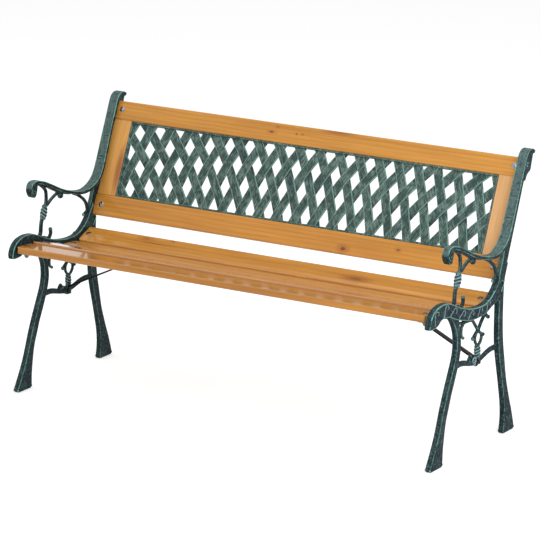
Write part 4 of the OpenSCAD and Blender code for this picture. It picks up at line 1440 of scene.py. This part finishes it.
@dataclass
class Lattice:
    """Woven diagonal lattice in the back frame, moulded in one piece with its rim.

    A falling strip's place at mid height follows from its number by start_fit, its slope and bend
    from that place by run_fit and bend_fit. The rising strips are their mirror image. Numbers run
    from -strips to strips - 1.
    """

    half_wide: float = 559.0
    low: float = 30.0
    high: float = 237.0
    tongue: float = 6.0
    rim_wide: float = 5.0
    rim_face: float = 1.0
    rim_back: float = 15.0
    front: float = 5.0
    thick: float = 8.0
    strip_wide: float = 25.0
    strip_thick: float = 5.0
    rise: float = 1.2
    strips: int = 12
    start_fit: tuple[float, ...] = (21.2, 58.2, -0.477, 0.0292)
    run_fit: tuple[float, ...] = (0.4986, -0.000636, 0.000000606)
    bend_fit: tuple[float, ...] = (-0.00078, 0.00000094)
    slope: BackSlope = BackSlope()

    @property
    def mid(self) -> float:
        """Height of the panel's middle up the slope."""
        return (self.low + self.high) / 2

    def start(self, k: float) -> float:
        """Where falling strip k passes mid height, along the bench."""
        a, b, c, d = self.start_fit
        return a + b * k + c * k * k + d * k ** 3

    def run(self, k: float) -> float:
        """How far falling strip k moves sideways for each step down, at mid height."""
        (a, b, c), x = self.run_fit, self.start(k)
        return a + b * x + c * x * x

    def bend(self, k: float) -> float:
        """How much falling strip k bends with the square of the height."""
        return self.bend_fit[0] + self.bend_fit[1] * self.start(k)

    def strokes(self) -> tuple[tuple[float, float, float], ...]:
        """Directions across the falling and the rising strips, which the brush followed.

        Returns:
            The two directions.
        """
        up, back = cos_sin(self.slope.lean)
        c, s = math.cos(math.atan(0.5)), math.sin(math.atan(0.5))
        return tuple((c, m * s * back, m * s * up) for m in (1, -1))

    def crossings(self, k: int) -> tuple[np.ndarray, np.ndarray]:
        """Heights above the middle where strip k meets the mirrored strips, lowest first.

        Args:
            k: The strip.

        Returns:
            The heights and, for each, 1 where a falling strip k passes in front and -1 where behind.
        """
        met = np.arange(-self.strips - 2, self.strips + 3)
        s = np.array([self.start(k) + self.start(m) for m in met])
        p = np.array([self.run(k) + self.run(m) for m in met])
        q = np.array([self.bend(k) + self.bend(m) for m in met])
        h = 2 * s / (p + np.sqrt(np.maximum(p * p - 4 * q * s, 0.01)))
        over = np.where((k + met) % 2 != 0, 1.0, -1.0)
        order = np.argsort(h)
        return h[order], over[order]

    def strip(self, panel: Pattern, k: int, mirror: int) -> None:
        """One woven strip with its raised edge lines.

        Args:
            panel: The pattern that the shell goes to.
            k: The strip's number.
            mirror: 1 for a falling strip, -1 for a rising one.
        """
        half = (self.high - self.low) / 2 + 4.0
        h = np.linspace(-half, half, 90)
        line = self.start(k) - self.run(k) * h + self.bend(k) * h * h
        lean = np.sqrt(1 + (self.run(k) - 2 * self.bend(k) * h) ** 2)
        inside = np.abs(line) < self.half_wide + 3.5 + self.strip_wide / 2 * lean
        if inside.sum() < 3:
            return
        h, line, lean = h[inside], line[inside], lean[inside]
        at, over = self.crossings(k)
        lift = -self.rise * mirror * np.sin(math.pi / 2 * np.interp(h, at, over))
        # painted shade: a strip is darkened where it passes behind another
        shade_behind = np.clip(lift / self.rise, 0, 1) ** 1.5  # how deep it passes behind another strip
        face = self.front + (self.thick - self.strip_thick) / 2
        w, t = self.strip_wide / 2, self.strip_thick
        section = ((-w, 1.0, 0.9), (-w + 0.4, 0.1, 1.0), (-w + 1.4, 0.0, 1.0), (-w + 2.2, 0.7, 0.1),
                   (-4.0, 0.85, 0.0), (4.0, 0.85, 0.0), (w - 2.2, 0.7, 0.1), (w - 1.4, 0.0, 1.0),
                   (w - 0.4, 0.1, 1.0), (w, 1.0, 0.9), (w, t - 0.8, 0.2), (w - 0.7, t, 0.2),
                   (-w + 0.7, t, 0.2), (-w, t - 0.8, 0.2))
        rings = np.empty((len(h), len(section), 3))
        marks = np.empty((len(h), len(section)))
        for i, (u, depth, mark) in enumerate(section):
            rings[:, i, 0] = mirror * (line + u * lean)
            rings[:, i, 1] = face + lift + depth
            rings[:, i, 2] = self.mid + h
            marks[:, i] = mark * (1 - shade_behind) - shade_behind
        panel.rings(rings, marks)

    def rim(self, panel: Pattern) -> None:
        """Rim round the lattice, its tongue in the groove of the frame.

        Args:
            panel: The pattern that the shell goes to.
        """
        x1, v0, v1 = self.half_wide + self.tongue, self.low - self.tongue, self.high + self.tongue
        deep, out = self.tongue + self.rim_wide, self.tongue + 0.3
        f, b = self.rim_face, self.rim_back
        section = ((0, self.front, 0.0), (out, self.front, 0.0), (out, f + 0.5, 0.3), (out + 0.5, f, 0.4),
                   (deep - 0.7, f, 0.5), (deep, f + 0.7, 0.5), (deep, b - 0.8, 0.0), (deep - 0.8, b, 0.1),
                   (out, b, 0.0), (out, self.front + self.thick, 0.0), (0, self.front + self.thick, 0.0))
        rings, marks = [], []
        for sx, sv in ((-1, -1), (1, -1), (1, 1), (-1, 1)):
            rings.append([(sx * (x1 - u), d, (v0 + u) if sv < 0 else (v1 - u)) for u, d, _ in section])
            marks.append([m for *_, m in section])
        panel.rings(np.array(rings), np.array(marks), closed=True)

    def build(self, paint: bpy.types.Material) -> None:
        """Make the panel and put it on the frame.

        Args:
            paint: The paint of the lattice.
        """
        panel = Pattern()
        for k in range(-self.strips, self.strips):
            for mirror in (1, -1):
                self.strip(panel, k, mirror)
        self.rim(panel)
        points = self.slope.to_bench(np.concatenate(panel.points))
        mesh = bpy.data.meshes.new("woven_lattice")
        mesh.from_pydata(points.tolist(), [], panel.faces)
        marks = np.concatenate(panel.marks)
        # the negative marks become the painted shade where a strip passes behind another
        for label, sign in (("arris", 1), ("crevice_shade", -1)):
            mark_points(mesh, label, np.clip(marks * sign, 0, 1))
        self.trim(mesh)
        place("woven_lattice", mesh, paint, "lattice_panel")

    def trim(self, mesh: bpy.types.Mesh) -> None:
        """Cut off what runs past the rim's sides, close the cuts and face all outwards.

        Args:
            mesh: The panel's mesh.
        """
        work = bmesh.new()
        work.from_mesh(mesh)
        for s in (-1, 1):
            edge = Vector((s * (self.half_wide + self.tongue - 0.5) * MM, 0, 0))
            cut = bmesh.ops.bisect_plane(work, geom=work.verts[:] + work.edges[:] + work.faces[:], dist=1e-7,
                                         plane_co=edge, plane_no=(s, 0, 0), clear_outer=True)
            rims = [e for e in cut["geom_cut"] if isinstance(e, bmesh.types.BMEdge) and e.is_boundary]
            bmesh.ops.holes_fill(work, edges=rims, sides=0)
        bmesh.ops.recalc_face_normals(work, faces=work.faces[:])
        work.to_mesh(mesh)
        work.free()
        mesh.polygons.foreach_set("use_smooth", np.zeros(len(mesh.polygons), bool))


@dataclass(frozen=True)
class Board:
    """One board of the bench: its CAD node, where its own axes lie and its finish."""

    node: str
    x: float
    y: float
    z: float
    tilt: float
    grain: Grain
    finish: BoardFinish

    def dress(self, shop: Workshop) -> None:
        """Lacquer the board.

        Args:
            shop: The shared node groups.
        """
        turn = (math.radians(self.tilt), 0.0, 0.0)
        if self.grain is Grain.UPRIGHT:
            # x up the slope, y along the bench, z towards the front
            c = Matrix.Rotation(math.radians(self.tilt), 3, "X") @ Matrix(((0, 1, 0), (1, 0, 0), (0, 0, -1)))
            turn = tuple(c.to_euler())
        middle = Vector((self.x, self.y - SET_BACK, self.z)) * MM
        dress(self.node, self.finish.build(shop, middle, turn))


def dress(node: str, material: bpy.types.Material) -> None:
    """Give a CAD node a finish.

    Args:
        node: The node's name.
        material: Its finish.
    """
    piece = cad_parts[node]
    if not piece.material_slots:
        piece.data.materials.append(material)
    for slot in piece.material_slots:
        slot.material = material
    log.info("%s: %s", node, material.name)


@dataclass
class Boards:
    """Seat slats and the four members of the back frame."""

    slope: BackSlope = BackSlope()

    def seat(self) -> list[Board]:
        """Seat slats from the front, each with its own rings, tone and knots.

        Returns:
            The slats.
        """
        finishes = {
            # the front slat's deeper orange is partly its wood tone and partly painted shade standing in for
            # its front face's shade
            "front": BoardFinish("slat_front_lacquer", 1.0, (90, -40), 0.004, 7.6, srgb("c58023"),
                                 srgb("965a18"), coat=0.85),
            # painted reflection: the duller, darker colours of the second and third slats stand in for the
            # shade that their tops reflect
            "second": BoardFinish("slat_second_lacquer", 2.3, (-60, -50), -0.004, 8.0, srgb("c78745"),
                                  srgb("98602e"), coat=1.0),
            "third": BoardFinish("slat_third_lacquer", 3.7, (75, -55), 0.005, 8.4, srgb("c2854a"),
                                 srgb("955f33"), coat=1.0),
            "fourth": BoardFinish("slat_fourth_lacquer", 5.1, (-85, -30), 0.003, 7.4, coat=0.8,
                                  knots=(Knot(75, -20, 5, 3, 0.5, 0.4, 2.0),)),
            "rear": BoardFinish("slat_rear_lacquer", 6.4, (40, -70), 0.006, 9.0, coat=0.7, knots=(
                Knot(-385, 2, 45, 1.2, 0.7, 0.5, 2.0), Knot(-420, 18, 12, 5, 0.25, 0.4, 2.0),
                Knot(-340, 24, 5, 3, 0.6, 0.3, 2.0), Knot(236, -6, 20, 7, 0.45, 0.7, 6.0)))}
        return [Board(f"seat_slat_{which}", 0, y, z, tilt, Grain.ALONG, finish)
                for (which, finish), (y, z, tilt) in zip(finishes.items(), SLATS)]

    def back(self) -> list[Board]:
        """Rails and stiles of the back frame, each with its own rings, tone and knots.

        Returns:
            The four members.
        """
        rows = (
            ("back_top_rail", 0, 263.0, Grain.ALONG, BoardFinish(
                "top_rail_lacquer", 8.2, (50, -45), 0.004, 8.2, tone=0.75, knots=(
                    Knot(-123, 0, 7, 2.5, 0.9, 0.5, 4.0), Knot(-107, 15, 4, 2, 0.5, 0.4, 2.0),
                    Knot(-47, 3, 3, 3, 0.9, 0.1, 2.0), Knot(-29, 4, 3, 2, 0.8, 0.3, 2.0),
                    Knot(75, 24, 22, 4, 0.1, 0.7, 2.0)))),
            ("back_bottom_rail", 0, 1.0, Grain.ALONG, BoardFinish(
                "bottom_rail_lacquer", 9.9, (-70, -60), 0.004, 9.2, tone=0.7, knots=(
                    Knot(162, -14, 9, 5, 0.85, 0.6, 9.0), Knot(322, 5, 5, 3, 0.8, 0.5, 3.0)))),
            ("left_back_stile", -588.25, 133.5, Grain.UPRIGHT, BoardFinish(
                "left_stile_lacquer", 11.1, (60, -40), 0.005, 7.8, srgb("e2a452"), srgb("b97526"), tone=0.5,
                knots=(Knot(-30, 22, 28, 5, 0.15, 0.8, 3.0),))),
            # painted light: the right stile's paler, greyer colour stands in for the stronger light and
            # reflection at the bench's right end
            ("right_back_stile", 588.25, 133.5, Grain.UPRIGHT, BoardFinish(
                "right_stile_lacquer", 12.6, (-55, -50), -0.005, 8.6, srgb("e0ab72"), srgb("c68d52"),
                tone=0.4)))
        return [Board(node, x, *self.slope.side_view(0.0, height), 90.0 - self.slope.lean, grain, finish)
                for node, x, height, grain, finish in rows]

    def build(self, shop: Workshop) -> None:
        """Lacquer all boards, and the dowels in their plain wood.

        Args:
            shop: The shared node groups.
        """
        plain = BoardFinish("dowel_beech", 20.0, (9, 3), 0.0, 2.4, srgb("d9b685"), srgb("b98f5c"), 0.7)
        dowels = Board("stile_dowels", 0, self.slope.y, self.slope.z, 90.0 - self.slope.lean,
                       Grain.ALONG, plain)
        for board in (*self.seat(), *self.back(), dowels):
            board.dress(shop)


@dataclass
class Ironmongery:
    """Bolts, washers, nuts, screws and the two braces."""

    bright: tuple[str, ...] = ("back_bolts", "back_washers", "back_nuts", "brace_screws")
    dull: tuple[str, ...] = ("left_seat_bolts", "right_seat_bolts", "left_seat_washers", "right_seat_washers",
                             "left_seat_nuts", "right_seat_nuts", "brace_nuts")
    black: tuple[str, ...] = ("brace_bolts", "brace_washers")
    braces: tuple[str, ...] = ("left_brace", "right_brace")

    def build(self, shop: Workshop) -> None:
        """Plate the fasteners and enamel the braces.

        Args:
            shop: The shared node groups.
        """
        for nodes, finish in (
                (self.bright, PlatedSteel()),
                (self.dull, PlatedSteel("dull_plate", srgb("73695e"), srgb("3e3833"), 0.3)),
                (self.black, PlatedSteel("black_oxide", srgb("2e2c2b"), srgb("161514"), 0.34)),
                (self.braces, BlackEnamel())):
            material = finish.build(shop)
            for node in nodes:
                dress(node, material)


@dataclass
class Studio:
    """Camera, floor, world and lamps.

    The camera is the pinhole that was fitted to the photograph: focal length in pixels, angles in
    degrees, shift and distance in millimetres from the target.
    """

    focal: float = 3520.94
    azimuth: float = 31.347
    elevation: float = 14.990
    roll: float = 0.5008
    shift: Point = (38.447, 33.407)
    distance: float = 9071.0
    target: tuple[float, float, float] = (0.0, -55.0, 350.0)
    floor_glow: float = 0.54
    world_light: float = 0.5

    def camera(self) -> None:
        """Camera where the photograph was taken from."""
        a, e, r = (math.radians(v) for v in (self.azimuth, self.elevation, self.roll))
        back = Vector((math.sin(a) * math.cos(e), -math.cos(a) * math.cos(e), math.sin(e)))
        right = Vector((math.cos(a), math.sin(a), 0))
        up = back.cross(right)
        r2 = math.cos(r) * right + math.sin(r) * up
        u2 = -math.sin(r) * right + math.cos(r) * up
        spot = Vector(self.target) + self.shift[0] * r2 + self.shift[1] * u2 + self.distance * back
        data = bpy.data.cameras.new("camera")
        data.sensor_width = FILM
        data.lens = self.focal / PHOTO_SIDE * FILM
        data.clip_end = 100
        cam = bpy.data.objects.new("camera", data)
        cam.matrix_world = Matrix.Translation(spot * MM) @ Matrix((r2, u2, back)).transposed().to_4x4()
        show(cam)
        bpy.context.scene.camera = cam

    def floor(self) -> None:
        """Plain pale floor that shows white to the camera and in reflections, and keeps the shadow."""
        work = bmesh.new()
        bmesh.ops.create_grid(work, x_segments=1, y_segments=1, size=9.0)
        mesh = bpy.data.meshes.new("floor")
        work.to_mesh(mesh)
        work.free()
        floor = bpy.data.objects.new("floor", mesh)
        floor.location.z = -0.0005  # clear of the feet, so that the two faces don't fight
        show(floor)
        material = bpy.data.materials.new("floor_white")
        g = blank(material)
        matt = g.add("BsdfDiffuse", {"Color": (0.80, 0.80, 0.80)})
        glow = g.add("Emission", {"Color": (1.0, 1.0, 1.0), "Strength": g.times(g.seen(), self.floor_glow)})
        both = g.add("AddShader", {0: matt.outputs[0], 1: glow.outputs[0]})
        g.add("OutputMaterial", {"Surface": both.outputs[0]})
        mesh.materials.append(material)

    def world(self) -> None:
        """White surroundings for camera and reflections, softer light on the object."""
        world = bpy.data.worlds.new("studio")
        bpy.context.scene.world = world
        g = blank(world)
        strength = g.fit(g.seen(), 0.0, 1.0, self.world_light, 1.0, False)
        back = g.add("Background", {"Color": (1.0, 1.0, 1.0), "Strength": strength})
        g.add("OutputWorld", {"Surface": back.outputs[0]})

    def lamp(self, name: str, spot: Sequence[float], aim: Sequence[float], size: float, power: float,
             tint: Colour = (1.0, 1.0, 1.0)) -> None:
        """Large soft lamp.

        Args:
            name: Its name.
            spot: Where it stands, in metres.
            aim: What it points at.
            size: Length of its side.
            power: Its power in watts.
            tint: Its colour.
        """
        data = bpy.data.lights.new(name, "AREA")
        data.size = size
        data.energy = power
        data.color = tint
        lamp = bpy.data.objects.new(name, data)
        lamp.location = spot
        lamp.rotation_euler = (Vector(aim) - Vector(spot)).to_track_quat("-Z", "Y").to_euler()
        show(lamp)

    def build(self) -> None:
        """Set up the whole studio."""
        bpy.context.scene.view_settings.view_transform = "Standard"
        self.camera()
        self.floor()
        self.world()
        self.lamp("key", (-1.8, -2.8, 3.2), (0, 0, 0.4), 4.6, 28)
        self.lamp("fill", (2.1, -1.5, 1.6), (0.4, 0, 0.5), 2.6, 45, (0.93, 1.0, 1.1))
        self.lamp("top", (0.2, 0.6, 3.4), (0, 0, 0.3), 4.4, 34)


def main() -> None:
    """Build the bench's looks piece by piece."""
    logging.basicConfig(level=logging.INFO, format="%(message)s")
    Studio().build()
    shop = Workshop()
    iron = PatinaPaint(
        "patina_iron", ground=srgb("1c2b31"), deep=srgb("10181d"), bloom=srgb("728f88"),
        pale=srgb("86bcaa"), lit=srgb("5a6f6b"), edge_amount=0.44, cloud_scale=120.0, streak_cover=0.5,
        streak_strength=0.5, side_strength=0.34, specks=0.55)
    weave = PatinaPaint(
        "patina_lattice", ground=srgb("3f544e"), deep=srgb("28363b"), bloom=srgb("83998f"),
        pale=srgb("82ad9d"), lit=srgb("3f544e"), edge_amount=0.24, cloud_scale=18.0, streak_cover=0.52,
        streak_strength=0.72, side_strength=1.0, specks=0.25, edge_scale=120.0, fine=260.0, coarse=30.0,
        strokes=Lattice().strokes(), seed=4.0)
    EndFrame().build(iron.build(shop))
    Lattice().build(weave.build(shop))
    Boards().build(shop)
    Ironmongery().build(shop)


if __name__ == "__main__":
    main()
